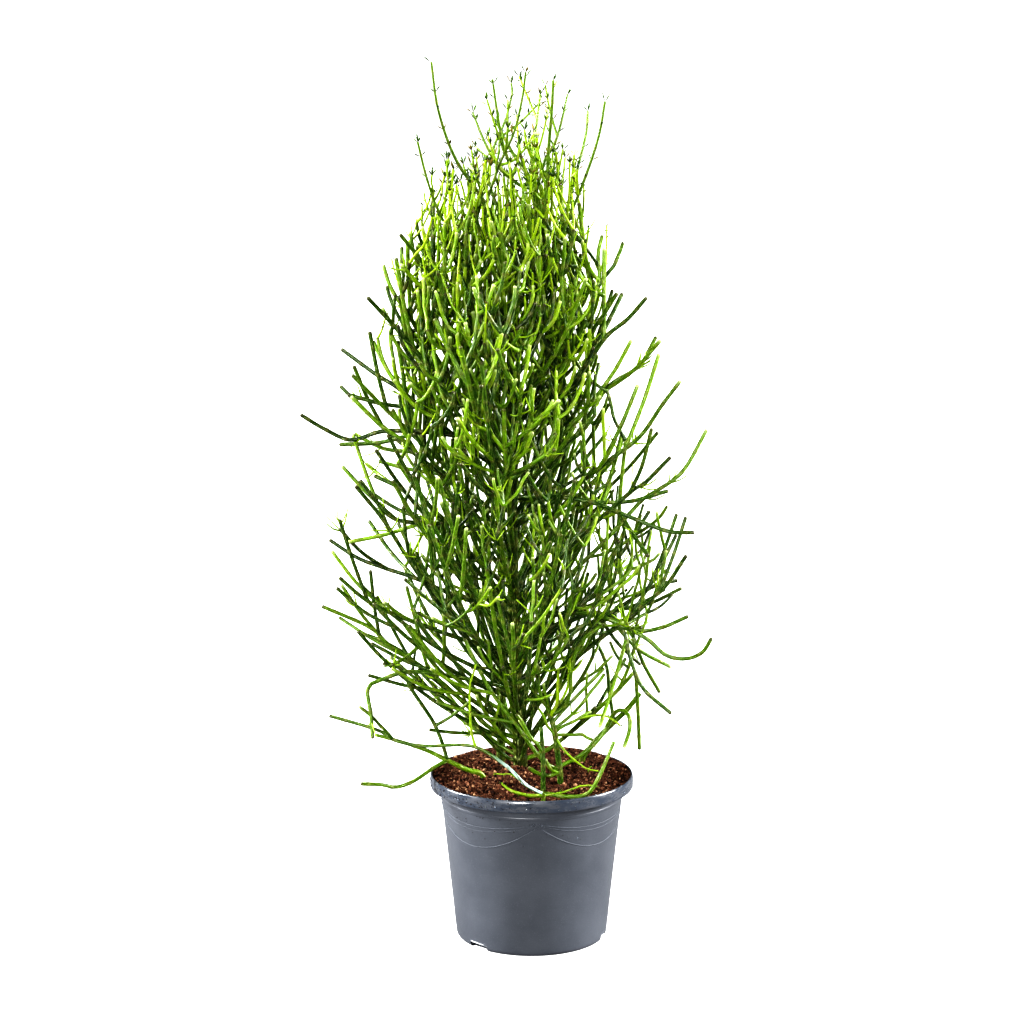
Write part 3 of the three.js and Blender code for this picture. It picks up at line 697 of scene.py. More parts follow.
AGES = [0.0, 0.3, 0.55, 0.8, 1.0]
GREENS = np.array([rgb(15, 42, 0), rgb(50, 83, 0), rgb(107, 141, 0), rgb(154, 181, 6), rgb(188, 209, 24)])
YOUTH = {250: 0.3, 450: 0.28, 650: 0.28, 850: 0.3, 1000: 0.34, 1150: 0.36, 1250: 0.36}
TIP_YOUTH = 0.1
PALEST_GREEN = 0.72
PALEST_SPRIG = 0.66
TONE_SPREAD = {"limb": 0.12, "twig": 0.12}
OTHER_SPREAD = 0.18
TONE_RANGE = [-0.4, 0.22]
CALM_ABOVE = 1040
CALM = 0.4
FRONT_CALM = 0.3
EDGE_TONE = 0.14
FRONT_TONE = 0.08
SCAR = rgb(128, 116, 66)
BLUNT_DARK = rgb(62, 52, 34)
BLUNT_PALE = rgb(196, 206, 150)
BLUNT_AGE = 0.48
BLUNT_LENGTH = 3.2
# Bluish-white painted highlight on edge_left: its colour, the way its side faces, and how far from the root
# it reaches.
PAINTED_HIGHLIGHT = rgb(196, 220, 226)
PAINTED_HIGHLIGHT_FACING = np.array([-0.2, -0.55, 0.8])
PAINTED_HIGHLIGHT_LENGTH = 60
# Dark olive towards the soil on the two main stems: partly their own older skin, partly painted shade.
DARK_BASE_AND_SHADE = rgb(38, 46, 14)
DARK_BASE_AND_SHADE_HEIGHT = 150
FINE_STEPS = 24
# Kinds of branch: sides, gap between rings, and how much younger than its height the skin looks
KINDS = {"stem": [18, 8, -0.08], "limb": [10, 10, -0.04], "twig": [8, 12, 0.0], "young": [7, 12, 0.2],
         "extra": [8, 12, 0.02], "outer": [7, 13, 0.06], "shoot": [5, 13, 0.26], "sprig": [4, 9, 0.5]}
CLOSEST_RINGS = 1.1
ROOT_RINGS = [3.0, 7.0]
TIP_RING = 2.2
FIRST_NODE = [10, 30]
LAST_NODE = 8
NODE_SPACING = [26, 44]
NODE_HALF = 2.6
NODE_WIDTH = 2.4
SWELL = 0.13
SOFT_SWELL = 0.06
COLLAR = 0.22
COLLAR_LENGTH = 5
WOBBLE = 0.7
SOFT = ("young", "shoot", "sprig")
HIGH_TIPS = 1110
TWIG_LEVELS = {"twigs_low": 560, "twigs_middle": 800, "twigs_high": 2000}


def tinted(skin, other, share):
    return skin + (other - skin) * share[:, None]


def taper(branch, part):
    """How much slimmer than its plain radii a branch is at each part of its length."""
    if branch.kind in SOFT:
        return 1 - 0.3 * part
    if branch.name.startswith("top_"):
        return 1.2 - 0.55 * part
    if branch.name == "stem_left_low":
        return 0.84
    if branch.kind in ("limb", "twig") and branch.path[-1][2] > HIGH_TIPS:
        return 0.9 - 0.35 * part
    return 1


def dress(branch):
    """The fine line of a branch, its radii, nodes and colours, built into one closed bar."""
    kind = branch.kind
    sides, ring_gap, youth = KINDS[kind]
    control = branch.path.copy()
    if branch.parent:
        control[0] = curve(branch.parent.control, np.array([branch.place]))[0]
    if kind != "stem":
        control[1:-1] += rng.normal(0, WOBBLE, control[1:-1].shape)
    branch.control = control
    places = np.linspace(0, len(control) - 1, FINE_STEPS * (len(control) - 1) + 1)
    fine, along, length = measured(control, places)
    nodes = list(np.interp(branch.children, places, along))
    at = rng.uniform(*FIRST_NODE)
    while at < length - LAST_NODE:
        nodes.append(at)
        at += rng.uniform(*NODE_SPACING)
    nodes = np.array(sorted(nodes))
    beside = [] if kind == "outer" or kind in SOFT else [nodes - NODE_HALF, nodes + NODE_HALF]
    spots = np.concatenate([np.linspace(0, length, max(3, math.ceil(length / ring_gap) + 1)),
                            nodes, *beside, ROOT_RINGS, [length - TIP_RING]])
    spots = np.sort(spots[(spots >= 0) & (spots <= length)])
    spots = spots[np.concatenate([[True], np.diff(spots) > CLOSEST_RINGS])]
    spots[-1] = length
    part = spots / length
    line = rows_at(spots, along, fine)
    near = np.zeros(len(spots))
    if len(nodes):
        near = np.exp(-((spots[:, None] - nodes[None]) / NODE_WIDTH) ** 2).max(axis=1)
    radii = branch.radii[0] + (branch.radii[1] - branch.radii[0]) * part
    radii *= (1 + (SOFT_SWELL if kind in SOFT else SWELL) * near) * taper(branch, part)
    if branch.parent:
        radii *= 1 + COLLAR * np.exp(-(spots / COLLAR_LENGTH) ** 2)
    points, faces, ring, angle = tube(line, radii, sides)

    age = np.interp(line[:, 2], *zip(*YOUTH.items())) + youth + branch.tone + TIP_YOUTH * part
    skin = rows_at(np.minimum(age, PALEST_SPRIG if kind == "sprig" else PALEST_GREEN), AGES, GREENS)
    if kind != "sprig":
        skin += (SCAR - skin) * (0.4 * near)[:, None]
    skin = skin[ring]
    if kind != "stem" and kind not in SOFT and line[-1][2] < HIGH_TIPS:
        cap = BLUNT_PALE if age[-1] > BLUNT_AGE + rng.normal(0, 0.08) else BLUNT_DARK
        share = np.clip(1 - (length - spots) / BLUNT_LENGTH, 0, 1)[ring]
        share[-2:] = 1
        skin = tinted(skin, cap, 0.75 * share)
    # A bluish-white painted highlight, broken into spots, on the side of edge_left that faces up and to the
    # front, near its root.
    if branch.name == "edge_left":
        above = (points - line[ring]) @ PAINTED_HIGHLIGHT_FACING / radii[ring]
        painted_highlight = np.clip(1.6 - spots / PAINTED_HIGHLIGHT_LENGTH, 0, 1)[ring] * (above > 0.25)
        skin = tinted(skin, PAINTED_HIGHLIGHT, 0.9 * painted_highlight * (rng.random(len(ring)) > 0.2))
    # The two main stems turn dark olive towards the soil: partly the old trunk's own darker skin, partly
    # painted shade under the crown.
    if branch.name in ("stem_main", "stem_second"):
        skin = tinted(skin, DARK_BASE_AND_SHADE, np.clip(1.1 - (points[:, 2] - SOIL_EDGE) / DARK_BASE_AND_SHADE_HEIGHT, 0, 0.8))
    grain = np.stack([np.cos(angle) * 3, np.sin(angle) * 3, spots[ring] * 0.05 + branch.tone * 40], axis=1)
    return points, faces, skin, grain


def tone_of(branch):
    """How much lighter than its kind a branch is: by chance, but calm at the top and in front."""
    tone = float(np.clip(rng.normal(0, TONE_SPREAD.get(branch.kind, OTHER_SPREAD)), *TONE_RANGE))
    if branch.path[0][2] > CALM_ABOVE:
        tone *= CALM
    if branch.name == "stem_front_edge":
        tone = EDGE_TONE
    if branch.name.startswith(("top", "front", "edge")):
        tone = FRONT_CALM * abs(tone) + (FRONT_TONE if branch.name.startswith("front") else 0)
    return tone


for branch in branches:
    branch.tone = tone_of(branch)
builds = {}
for i, branch in enumerate(branches):
    if i < solid_count:
        name = branch.stem + "_skin"
    elif branch.kind in ("shoot", "sprig"):
        name = "young_shoots"
    else:
        name = next(level for level, top in TWIG_LEVELS.items() if branch.path[0][2] < top)
    builds.setdefault(name, Build()).add(*dress(branch))

# Leaves: tiny narrow blades at the ends of young shoots and along them

FIRST_LEAF = 0.3
LEAF_GAP = [11, 19]
PAIR_LEAN = [0.6, 1.0]
TUFT_LEAN = [0.35, 0.8]
LEAF_LENGTH = [5, 9]
LEAF_WIDTH = [1.2, 1.5]
LONG_LEAF = [11, 18]
LONG_LEAF_WIDTH = [1.7, 2.1]
LEAF_THICK = 0.9
LEAF_YOUTH = [0.1, 0.5]
LEAF_BROWN = rgb(104, 92, 34)
BROWN_SHARE = 0.25
LEAF_LOST = 0.25


def leaf(base, out, length, width):
    """A closed narrow blade, four-sided and pointed at both ends."""
    side = unit(np.cross(out, UP + 0.01))
    flat = np.cross(side, out)
    spokes = np.array([side * width, flat * LEAF_THICK, -side * width, -flat * LEAF_THICK])
    points = np.concatenate([base + out * length * 0.5 + spokes, [base, base + out * length]])
    return points, bands(1, 4)


def leaf_spots(length, kind):
    """Where leaves stand along a shoot, in pairs, and the tuft at its tip, each with how far it leans out."""
    spots = []
    at = length * FIRST_LEAF + rng.uniform(0, 6)
    while at < length - 4:
        spots += [(at, turn, rng.uniform(*PAIR_LEAN)) for turn in (0.0, math.pi)]
        at += rng.uniform(*LEAF_GAP) * (2 if kind in ("limb", "twig") else 1)
    tuft = rng.integers(3, 5)
    return spots + [(length, 2 * math.pi * k / tuft, rng.uniform(*TUFT_LEAN)) for k in range(tuft)]


def leaf_shoot(branch):
    fine, along, length = measured(branch.control, np.linspace(0, len(branch.control) - 1, 60))
    turn = rng.uniform(0, 2 * math.pi)
    for at, opposite, lean in leaf_spots(length, branch.kind):
        base, ahead, behind = rows_at([at, min(at + 2, length), max(at - 2, 0)], along, fine)
        tangent = unit(ahead - behind)
        turn += 1.1 if opposite == 0 else 0
        side = square_to(tangent)
        away = side * math.cos(turn + opposite) + np.cross(tangent, side) * math.sin(turn + opposite)
        out = unit(tangent * math.cos(lean) + away * math.sin(lean))
        brown = rng.random() < BROWN_SHARE
        youth = rng.uniform(*LEAF_YOUTH)
        if rng.random() < LEAF_LOST:
            continue
        long = branch.kind in ("limb", "twig") or base[2] > HIGH_TIPS
        points, faces = leaf(base, out, rng.uniform(*(LONG_LEAF if long else LEAF_LENGTH)),
                             rng.uniform(*(LONG_LEAF_WIDTH if long else LEAF_WIDTH)))
        leaves.add(points, faces, LEAF_BROWN if brown else rows_at(youth, AGES, GREENS),
                   np.tile([[1.0, 1.0, at * 0.05]], (len(points), 1)))


leaves = Build()
for branch in of_kind("young", "shoot"):
    leaf_shoot(branch)
for branch in of_kind("limb", "twig"):
    if branch.control[-1][2] > HIGH_TIPS:
        leaf_shoot(branch)

# Materials

class Nodes:
    """A short way to write the node tree of a material or of the world."""

    def __init__(self, block):
        block.use_nodes = True
        self.block = block
        self.tree = block.node_tree
        self.shader = next(n for n in self.tree.nodes if n.type in ("BSDF_PRINCIPLED", "BACKGROUND"))

    def node(self, kind, inputs=(), out=0, **settings):
        made = self.tree.nodes.new("ShaderNode" + kind)
        for key, value in settings.items():
            setattr(made, key, value)
        for key, value in dict(inputs).items():
            self.put(made.inputs[key], value)
        return made.outputs[out]

    def put(self, socket, value):
        if isinstance(value, bpy.types.NodeSocket):
            self.tree.links.new(value, socket)
        else:
            socket.default_value = (*value.tolist(), 1.0) if isinstance(value, np.ndarray) else value

    def noise(self, scale, detail=3.0, roughness=0.55, vector=None):
        return self.node("TexNoise", {"Vector": vector or self.place, "Scale": scale, "Detail": detail,
                                      "Roughness": roughness})

    def spread(self, value, low, high, from_low=0.3, from_high=0.7):
        return self.node("MapRange", {"Value": value, "From Min": from_low, "From Max": from_high,
                                      "To Min": low, "To Max": high})

    def mix(self, share, a, b, blend="MIX"):
        return self.node("Mix", {0: share, 6: a, 7: b}, 2, data_type="RGBA", blend_type=blend)

    def bump(self, height, distance, strength=1.0, under=None):
        inputs = {"Height": height, "Distance": distance, "Strength": strength}
        return self.node("Bump", inputs | ({"Normal": under} if under else {}))

    def finish(self, **sockets):
        for key, value in sockets.items():
            self.put(self.shader.inputs[key.replace("_", " ")], value)
        return self.block


def material(name):
    made = Nodes(bpy.data.materials.new(name))
    made.place = made.node("TexCoord", out="Object")
    return made


def stem_material():
    m = material("green_stem")
    skin = m.node("Attribute", out="Color", attribute_name="skin")
    grain = m.node("Attribute", out="Vector", attribute_name="grain")
    streak_and_painted_highlight = m.noise(2.6, 4.0, vector=grain)
    blotch = m.noise(95.0)
    # Streaks along the grain: partly the skin's own fine striation, partly painted light and shade, lighter
    # and darker bands that stand in for lit and shaded sides. The pale mix paints whitish highlight lines
    # along the stems.
    light = m.mix(1.0, skin, m.spread(streak_and_painted_highlight, 0.22, 1.65), "MULTIPLY")
    light = m.mix(m.spread(streak_and_painted_highlight, 0.0, 0.85, 0.59, 0.7), light, rgb(222, 234, 164))
    patchy = m.mix(m.spread(blotch, 0.0, 0.16, 0.58, 0.75), light, rgb(140, 158, 60))
    ridge = m.bump(m.noise(5.5, 2.0, vector=grain), 0.0004, 0.5)
    pores = m.bump(m.noise(900.0, 2.0), 0.0002, 0.35, ridge)
    return m.finish(Base_Color=patchy, Roughness=m.spread(blotch, 0.24, 0.36), Normal=pores,
                    Specular_IOR_Level=0.33)


def pot_material():
    m = material("slate_plastic")
    height = m.node("SeparateXYZ", {"Vector": m.place}, "Z")
    cloud = m.noise(14.0, 4.0)
    drawn = m.node("Mapping", {"Vector": m.place, "Scale": (1.0, 1.0, 3.0)})
    smear = m.noise(34.0, 5.0, 0.6, drawn)
    base = m.mix(m.spread(cloud, 0.0, 1.0), rgb(66, 69, 75), rgb(75, 78, 84))
    base = m.mix(m.spread(m.noise(650.0, 2.0), 0.0, 0.5, 0.6, 0.75), base, rgb(92, 95, 101))
    wet = m.spread(height, 0.0, 1.0, 0.226, 0.23)
    patch = m.node("Math", {0: wet, 1: m.spread(smear, 0.0, 1.0, 0.42, 0.62)}, operation="MULTIPLY")
    base = m.mix(patch, base, rgb(54, 60, 70))
    rough = m.node("Mix", {0: patch, 2: m.spread(cloud, 0.32, 0.46), 3: 0.12})
    grain = m.bump(m.noise(1400.0, 2.0), 0.00012, 0.4)
    sag = m.bump(m.noise(30.0, 2.0), 0.0012, 0.25, grain)
    return m.finish(Base_Color=base, Roughness=rough, Normal=m.bump(smear, 0.0006, 0.4, sag))


# The raised cords and knots are painted a lighter grey than the pot, mottled by noise: a painted highlight on
# the relief.
def relief_highlight_material():
    m = material("worn_plastic")
    relief_mottle = m.noise(180.0)
    return m.finish(Base_Color=m.mix(m.spread(relief_mottle, 0.0, 1.0), rgb(62, 66, 73), rgb(84, 88, 95)),
                    Roughness=m.spread(relief_mottle, 0.55, 0.7), Normal=m.bump(m.noise(1200.0, 2.0), 0.0001, 0.4))


def soil_material():
    m = material("peat")
    clod, fine = m.noise(150.0, 6.0, 0.7), m.noise(700.0, 4.0, 0.7)
    base = m.mix(m.spread(clod, 0.0, 1.0, 0.4, 0.6), rgb(30, 12, 6), rgb(96, 58, 40))
    base = m.mix(m.spread(fine, 0.0, 0.8, 0.5, 0.68), base, rgb(146, 108, 82))
    rough = m.bump(fine, 0.003, 1.0, m.bump(clod, 0.006, 0.9))
    return m.finish(Base_Color=base, Roughness=m.spread(fine, 0.72, 0.95), Normal=rough,
                    Specular_IOR_Level=0.15)


def crumb_material():
    m = material("peat_crumbs")
    skin = m.node("Attribute", out="Color", attribute_name="skin")
    fine = m.noise(700.0, 4.0, 0.7)
    return m.finish(Base_Color=m.mix(1.0, skin, m.spread(fine, 0.6, 1.35), "MULTIPLY"),
                    Roughness=m.spread(fine, 0.7, 0.95), Normal=m.bump(fine, 0.001, 0.8),
                    Specular_IOR_Level=0.15)


def water_material():
    m = material("water_drops")
    return m.finish(Base_Color=(0.9, 0.95, 1.0, 1.0), Roughness=0.04, IOR=1.33, Transmission_Weight=0.9,
                    Normal=m.bump(m.noise(500.0, 1.0), 0.0001, 0.2))


green = stem_material()
for name, build in builds.items():
    build.make(name, green, "stem_green", [name[:-5]] if name.endswith("_skin") else ())
leaves.make("tiny_leaves", green, "stem_green")

# Pot

POT_SIDES = 190
PROFILE_GAP = 6.4
CORNER_STEPS = 7
KNOTS = 4
FIRST_KNOT = -86.5
KNOT_HALF = math.radians(2.2)
KNOT_HEIGHT = 204.5
# Small round lumps of a knot: how far across and above its middle, and their size
KNOT = [(-6, 2.2, 1.9), (5.6, 0.4, 2.1), (-1.8, 3.4, 1.0), (1.8, 3.1, 1.0), (-9, 0.2, 0.9), (9, -1.2, 0.9),
        (-4.5, -3.4, 0.9), (-1.6, -4.4, 0.9), (1.6, -4.5, 0.9), (4.6, -3.8, 0.9), (0, -0.4, 1.3)]
# Raised cords between two knots: height at the knots, sag and radius
CORDS = [(206.5, 11, 0.5), (204.5, 15, 0.4), (200, 36, 0.6)]
GOLDEN = (1 + math.sqrt(5)) / 2
BLOB = np.array([(-1, GOLDEN, 0), (1, GOLDEN, 0), (-1, -GOLDEN, 0), (1, -GOLDEN, 0), (0, -1, GOLDEN),
                 (0, 1, GOLDEN), (0, -1, -GOLDEN), (0, 1, -GOLDEN), (GOLDEN, 0, -1), (GOLDEN, 0, 1),
                 (-GOLDEN, 0, -1), (-GOLDEN, 0, 1)]) / math.sqrt(1 + GOLDEN * GOLDEN)
BLOB_FACES = np.array([(0, 11, 5), (0, 5, 1), (0, 1, 7), (0, 7, 10), (0, 10, 11), (1, 5, 9), (5, 11, 4),
                       (11, 10, 2), (10, 7, 6), (7, 1, 8), (3, 9, 4), (3, 4, 2), (3, 2, 6), (3, 6, 8),
                       (3, 8, 9), (4, 9, 5), (2, 4, 11), (6, 2, 10), (8, 6, 7), (9, 8, 1)])


def wall_radius(height):
    return BASE_RADIUS + (WALL_TOP_RADIUS - BASE_RADIUS) * height / LIP


def rounded(corners):
    """A profile through corners (radius, height, rounding), as closely spaced points."""
    points = []
    for i, (x, z, round_by) in enumerate(corners):
        here = np.array([x, z], float)
        if i in (0, len(corners) - 1) or not round_by:
            points.append(here)
            continue
        before, after = (np.array(corners[k][:2], float) for k in (i - 1, i + 1))
        start, end = (here + (other - here) * min(0.49, round_by / np.linalg.norm(other - here))
                      for other in (before, after))
        points += [(1 - t) ** 2 * start + 2 * t * (1 - t) * here + t * t * end
                   for t in np.linspace(0, 1, CORNER_STEPS)]
    filled = [points[0]]
    for a, b in zip(points[:-1], points[1:]):
        count = max(1, math.ceil(np.linalg.norm(b - a) / PROFILE_GAP))
        filled += [a + (b - a) * k / count for k in range(1, count + 1)]
    return np.array(filled)


def turned(profile, sides):
    """The points of a profile (radius, height), ring by ring round the pot's axis."""
    turn = np.arange(sides) * 2 * math.pi / sides
    return np.stack([profile[:, :1] * np.cos(turn), profile[:, :1] * np.sin(turn),
                     np.broadcast_to(profile[:, 1:], (len(profile), sides))], axis=-1).reshape(-1, 3)


def pot_profile():
    inner = RIM_RADIUS - RIM_THICKNESS
    return rounded([
        (0, 1.5, 0), (BASE_RADIUS - 14, 1.5, 1), (BASE_RADIUS - 12, 0, 1), (BASE_RADIUS - 3, 0, 3),
        (wall_radius(4), 4, 3), (wall_radius(212), 212, 0.6), (wall_radius(213) + 0.5, 213, 0.4),
        (wall_radius(216) + 0.5, 216, 0.4), (wall_radius(217), 217, 0.6), (wall_radius(LIP), LIP + 0.6, 1.2),
        (RIM_RADIUS - 3, LIP + 0.6, 0.6), (RIM_RADIUS - 2, LIP - 0.6, 0.8), (RIM_RADIUS - 0.4, LIP, 0.8),
        (RIM_RADIUS, LIP + 3, 1), (RIM_RADIUS, POT_HEIGHT - 5, 3), (RIM_RADIUS - 1.2, POT_HEIGHT - 1, 1.4),
        (inner + 0.6, POT_HEIGHT, 1), (inner, POT_HEIGHT - 1.6, 1), (inner, LIP + WALL, 0.6),
        (wall_radius(LIP) - WALL, LIP + WALL, 0.6), (wall_radius(8) - WALL, 8, 4),
        (BASE_RADIUS - 7, FLOOR, 3), (0, FLOOR, 0)])


def notch_blocks():
    """The blocks that cut the drain notches into the pot's foot."""
    half, top = NOTCH_WIDTH / 2, NOTCH_HEIGHT
    outline = [(-half, -4), (half, -4), (half, top - 3), (half - 0.9, top - 0.9), (half - 3, top),
               (3 - half, top), (0.9 - half, top - 0.9), (-half, top - 3)]
    x, y, z = np.array([(BASE_RADIUS + away, *spot) for away in (-NOTCH_REACH, NOTCH_REACH)
                        for spot in outline]).T
    n = len(outline)
    j = np.arange(n)
    faces = [np.stack([j, j + n, (j + 1) % n + n, (j + 1) % n], axis=1), j[None, ::-1], (j + n)[None]]
    blocks = Build()
    for i in range(NOTCH_COUNT):
        turn = (i + NOTCH_TURN) * 2 * math.pi / NOTCH_COUNT
        c, s = math.cos(turn), math.sin(turn)
        blocks.add(np.stack([x * c - y * s, x * s + y * c, z], axis=1), faces)
    return blocks.make("notches", green)


def nursery_pot():
    profile = pot_profile()
    ends = [[0, 0, profile[0][1]], [0, 0, profile[-1][1]]]
    build = Build()
    build.add(np.concatenate([turned(profile[1:-1], POT_SIDES), ends]), bands(len(profile) - 2, POT_SIDES))
    pot = build.make("nursery_pot", pot_material(), "pot_plastic", ["pot"])
    blocks = notch_blocks()
    cut = pot.modifiers.new("notches", "BOOLEAN")
    cut.operation, cut.solver, cut.object = "DIFFERENCE", "EXACT", blocks
    notched = bpy.data.meshes.new_from_object(pot.evaluated_get(bpy.context.evaluated_depsgraph_get()))
    pot.modifiers.clear()
    pot.data = notched
    bpy.data.objects.remove(blocks)


def polar(angle, radius, height):
    return np.array([math.cos(angle) * radius, math.sin(angle) * radius, height])


def swag(start, turn, top, sag, radius):
    """A thin raised cord on the wall that hangs between two knots."""
    t = np.linspace(0, 1, 60)
    height = top - sag * 4 * t * (1 - t)
    angle = start + turn * t
    r = wall_radius(height) + 0.05
    line = np.stack([np.cos(angle) * r, np.sin(angle) * r, height], axis=1)
    return tube(line, np.full(len(line), radius), 8)[:2]


def blob(centre, sizes, turn, roughness=0.0):
    """A small closed lump: an icosahedron, stretched, turned and made uneven."""
    lump = BLOB * (1 + roughness * rng.uniform(-1, 1, (12, 1)))
    spin = np.array(Euler(turn).to_matrix())
    return centre + (lump * sizes) @ spin.T, [BLOB_FACES]


def swag_relief():
    relief = Build()
    for i in range(KNOTS):
        knot = math.radians(FIRST_KNOT + 360 / KNOTS * i)
        for cord in CORDS:
            relief.add(*swag(knot + KNOT_HALF, 2 * math.pi / KNOTS - 2 * KNOT_HALF, *cord))
        for across, above, size in KNOT:
            height = KNOT_HEIGHT + above
            centre = polar(knot + across / wall_radius(height), wall_radius(height) + 0.1, height)
            relief.add(*blob(centre, size * np.ones(3), rng.uniform(-1, 1, 3)))
    relief.make("swag_relief", relief_highlight_material(), "pot_plastic")


# Soil

SOIL_RADIUS = RIM_RADIUS - RIM_THICKNESS - 0.2
SOIL_RINGS = 120
SOIL_SECTORS = 300
CRUMBS = 3600
CRUMB_SPREAD = [0.6, 1.2]
FIBRES = 700
FIBRE_STEPS = 4
FIBRE_LENGTH = [3, 13]
FIBRE_BEND = [-0.6, 0.6]
FIBRE_RISE = [-0.12, 0.2]
FIBRE_RADIUS = [0.2, 0.5]
PEAT = [rgb(32, 13, 6), rgb(78, 48, 34), rgb(116, 82, 62), rgb(162, 128, 100)]
CRUMB_SHARES = [0.3, 0.34, 0.24, 0.12]
FIBRE_SHARES = [0.2, 0.2, 0.3, 0.3]
SPECK = rgb(40, 30, 26)
RIM_SPECKS = 240
RIM_DROPS = 420
DIRTY_SIDE = math.radians(230)
ANY_TURN = [-3, 3]


def ground_at(x, y):
    fade = min(1.0, (SOIL_RADIUS - math.hypot(x, y)) / 6)
    lumps = 2.2 * noise.fractal((x * 0.11, y * 0.11, 3.0), 0.6, 2.1, 4)
    clods = 1.5 * noise.fractal((x * 0.45, y * 0.45, 7.0), 0.6, 2.1, 3)
    return float(soil_top(x, y)) + fade * (lumps + clods)


def peat_bed():
    turn = np.arange(SOIL_SECTORS) * 2 * math.pi / SOIL_SECTORS
    r = SOIL_RADIUS * (1 - np.arange(SOIL_RINGS) / SOIL_RINGS)
    x, y = r[:, None] * np.cos(turn), r[:, None] * np.sin(turn)
    z = np.array([[ground_at(a, b) for a, b in zip(xs, ys)] for xs, ys in zip(x, y)])
    top = np.stack([x, y, z], axis=-1).reshape(-1, 3)
    side = np.array([(BASE_RADIUS - 10, FLOOR + 1), (wall_radius(9) - WALL - 1, 10),
                     (wall_radius(LIP) - WALL - 0.5, LIP + WALL + 0.4), (SOIL_RADIUS, LIP + WALL + 0.4)])
    ends = [[0, 0, FLOOR + 1], [0, 0, ground_at(0, 0)]]
    soil = Build()
    soil.add(np.concatenate([turned(side, SOIL_SECTORS), top, ends]),
             bands(SOIL_RINGS + len(side), SOIL_SECTORS))
    soil.make("peat_bed", soil_material(), "peat_soil", ["soil"])


def soil_spot(margin):
    """A random place on the soil, at least a margin away from its edge."""
    angle, away = rng.uniform(0, 2 * math.pi), (SOIL_RADIUS - margin) * math.sqrt(rng.random())
    x, y, _ = polar(angle, away, 0)
    return np.array([x, y, ground_at(x, y)])


def peat_crumbs():
    crumbs = Build()
    for _ in range(CRUMBS):
        spot = soil_spot(2)
        size = 0.8 + 2.2 * rng.random() ** 2.5
        crumbs.add(*blob(spot + UP * 0.3 * size, size * rng.uniform(*CRUMB_SPREAD, 3),
                         rng.uniform(*ANY_TURN, 3), 0.25), PEAT[rng.choice(4, p=CRUMB_SHARES)])
    for _ in range(FIBRES):
        line = [soil_spot(8) + UP * 0.4]
        heading, length = rng.uniform(0, 2 * math.pi), rng.uniform(*FIBRE_LENGTH)
        bend = rng.uniform(*FIBRE_BEND)
        for _ in range(FIBRE_STEPS):
            heading += bend
            line.append(line[-1] + length / FIBRE_STEPS * polar(heading, 1, rng.uniform(*FIBRE_RISE)))
        points, faces, _, _ = tube(np.array(line), np.full(len(line), rng.uniform(*FIBRE_RADIUS)), 5)
        crumbs.add(points, faces, PEAT[rng.choice(4, p=FIBRE_SHARES)])
    crumbs.make("peat_crumbs", crumb_material(), "peat_soil")


def rim_spot(spread):
    """A random place on the rim's top, its face or the wall below it, and which way is out there."""
    angle = rng.normal(DIRTY_SIDE, spread)
    part = rng.random()
    if part < 0.25:
        return polar(angle, RIM_RADIUS - rng.uniform(1.4, 3), POT_HEIGHT), UP
    if part < 0.75:
        radius, height = RIM_RADIUS, rng.uniform(LIP + 2, POT_HEIGHT - 4)
    else:
        height = LIP - 60 * rng.random() ** 2
        radius = wall_radius(height)
    return polar(angle, radius, height), polar(angle, 1, 0)


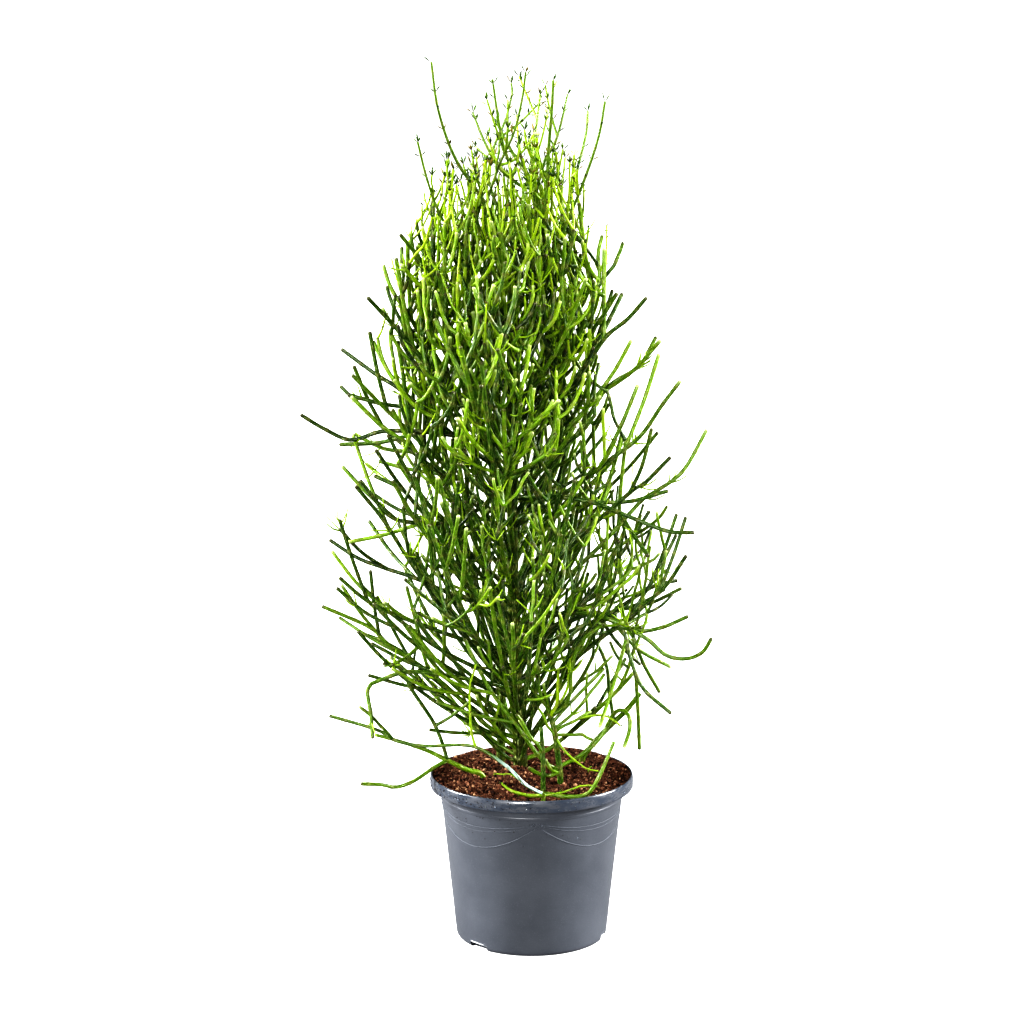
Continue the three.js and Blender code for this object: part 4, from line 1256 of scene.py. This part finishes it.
def rim_litter():
    """Peat and water that stuck to the pot: crumbs mostly at its left, drops all round."""
    specks, drops = Build(), Build()
    for _ in range(RIM_SPECKS):
        centre, _ = rim_spot(0.5)
        specks.add(*blob(centre, rng.uniform(0.3, 1.0, 3), rng.uniform(*ANY_TURN, 3), 0.3), SPECK)
    for _ in range(RIM_DROPS):
        centre, out = rim_spot(2.2)
        size = 0.35 + 1.0 * rng.random() ** 2
        flat = Vector(out).to_track_quat("Z", "Y").to_euler()
        drops.add(*blob(centre, size * np.array([1, rng.uniform(0.8, 1.3), 0.45]), flat))
    specks.make("rim_crumbs", crumb_material(), "peat_soil")
    drops.make("rim_drops", water_material(), "pot_plastic")


nursery_pot()
swag_relief()
peat_bed()
peat_crumbs()
rim_litter()

# Floor, lights and camera

# Suns: the way each one shines, its width in degrees and its strength
SUNS = {"key": [(0.85, -0.12, -0.4), 15, 7.8], "side": [(-0.88, -0.1, -0.36), 15, 8.0],
        "top": [(0.1, 0.4, -1.0), 40, 0.8], "front": [(0.25, 1.0, -0.34), 20, 3.0]}
CAMERA_TILT = 10.92

white = material("pale_floor")
seen = white.node("LightPath", out="Is Camera Ray")
pale = white.mix(white.noise(40.0), np.full(3, 0.42), np.full(3, 0.44))
white.finish(Base_Color=white.mix(seen, np.full(3, 0.12), pale), Roughness=0.8, Emission_Color=np.ones(3),
             Emission_Strength=white.spread(seen, 0.1, 0.72, 0.0, 1.0))
bpy.ops.mesh.primitive_plane_add(size=30, location=(0, 0, 0))
floor = bpy.context.object
floor.name = "floor"
floor.data.materials.append(white.block)

scene = bpy.context.scene
scene.view_settings.view_transform = "Standard"
scene.view_settings.look = "Very High Contrast"
world = Nodes(bpy.data.worlds.new("studio"))
glossy, seen = (world.node("LightPath", out=ray) for ray in ("Is Glossy Ray", "Is Camera Ray"))
bright = world.node("Math", {0: glossy, 1: 0.15, 2: seen}, operation="MULTIPLY_ADD")
scene.world = world.finish(Color=np.ones(3), Strength=world.spread(bright, 0.04, 1.0, 0.0, 1.0))

for name, (toward, width, strength) in SUNS.items():
    light = bpy.data.lights.new(name, "SUN")
    light.angle = math.radians(width)
    light.energy = strength
    lamp = bpy.data.objects.new(name, light)
    lamp.rotation_euler = Vector(toward).to_track_quat("-Z", "Y").to_euler()
    scene.collection.objects.link(lamp)

lens = bpy.data.cameras.new("camera")
lens.lens = 98.72
lens.clip_end = 100
camera = bpy.data.objects.new("camera", lens)
camera.location = (-0.029, -4.0, 1.41)
camera.rotation_euler = (math.radians(90 - CAMERA_TILT), 0, 0)
scene.collection.objects.link(camera)
scene.camera = camera
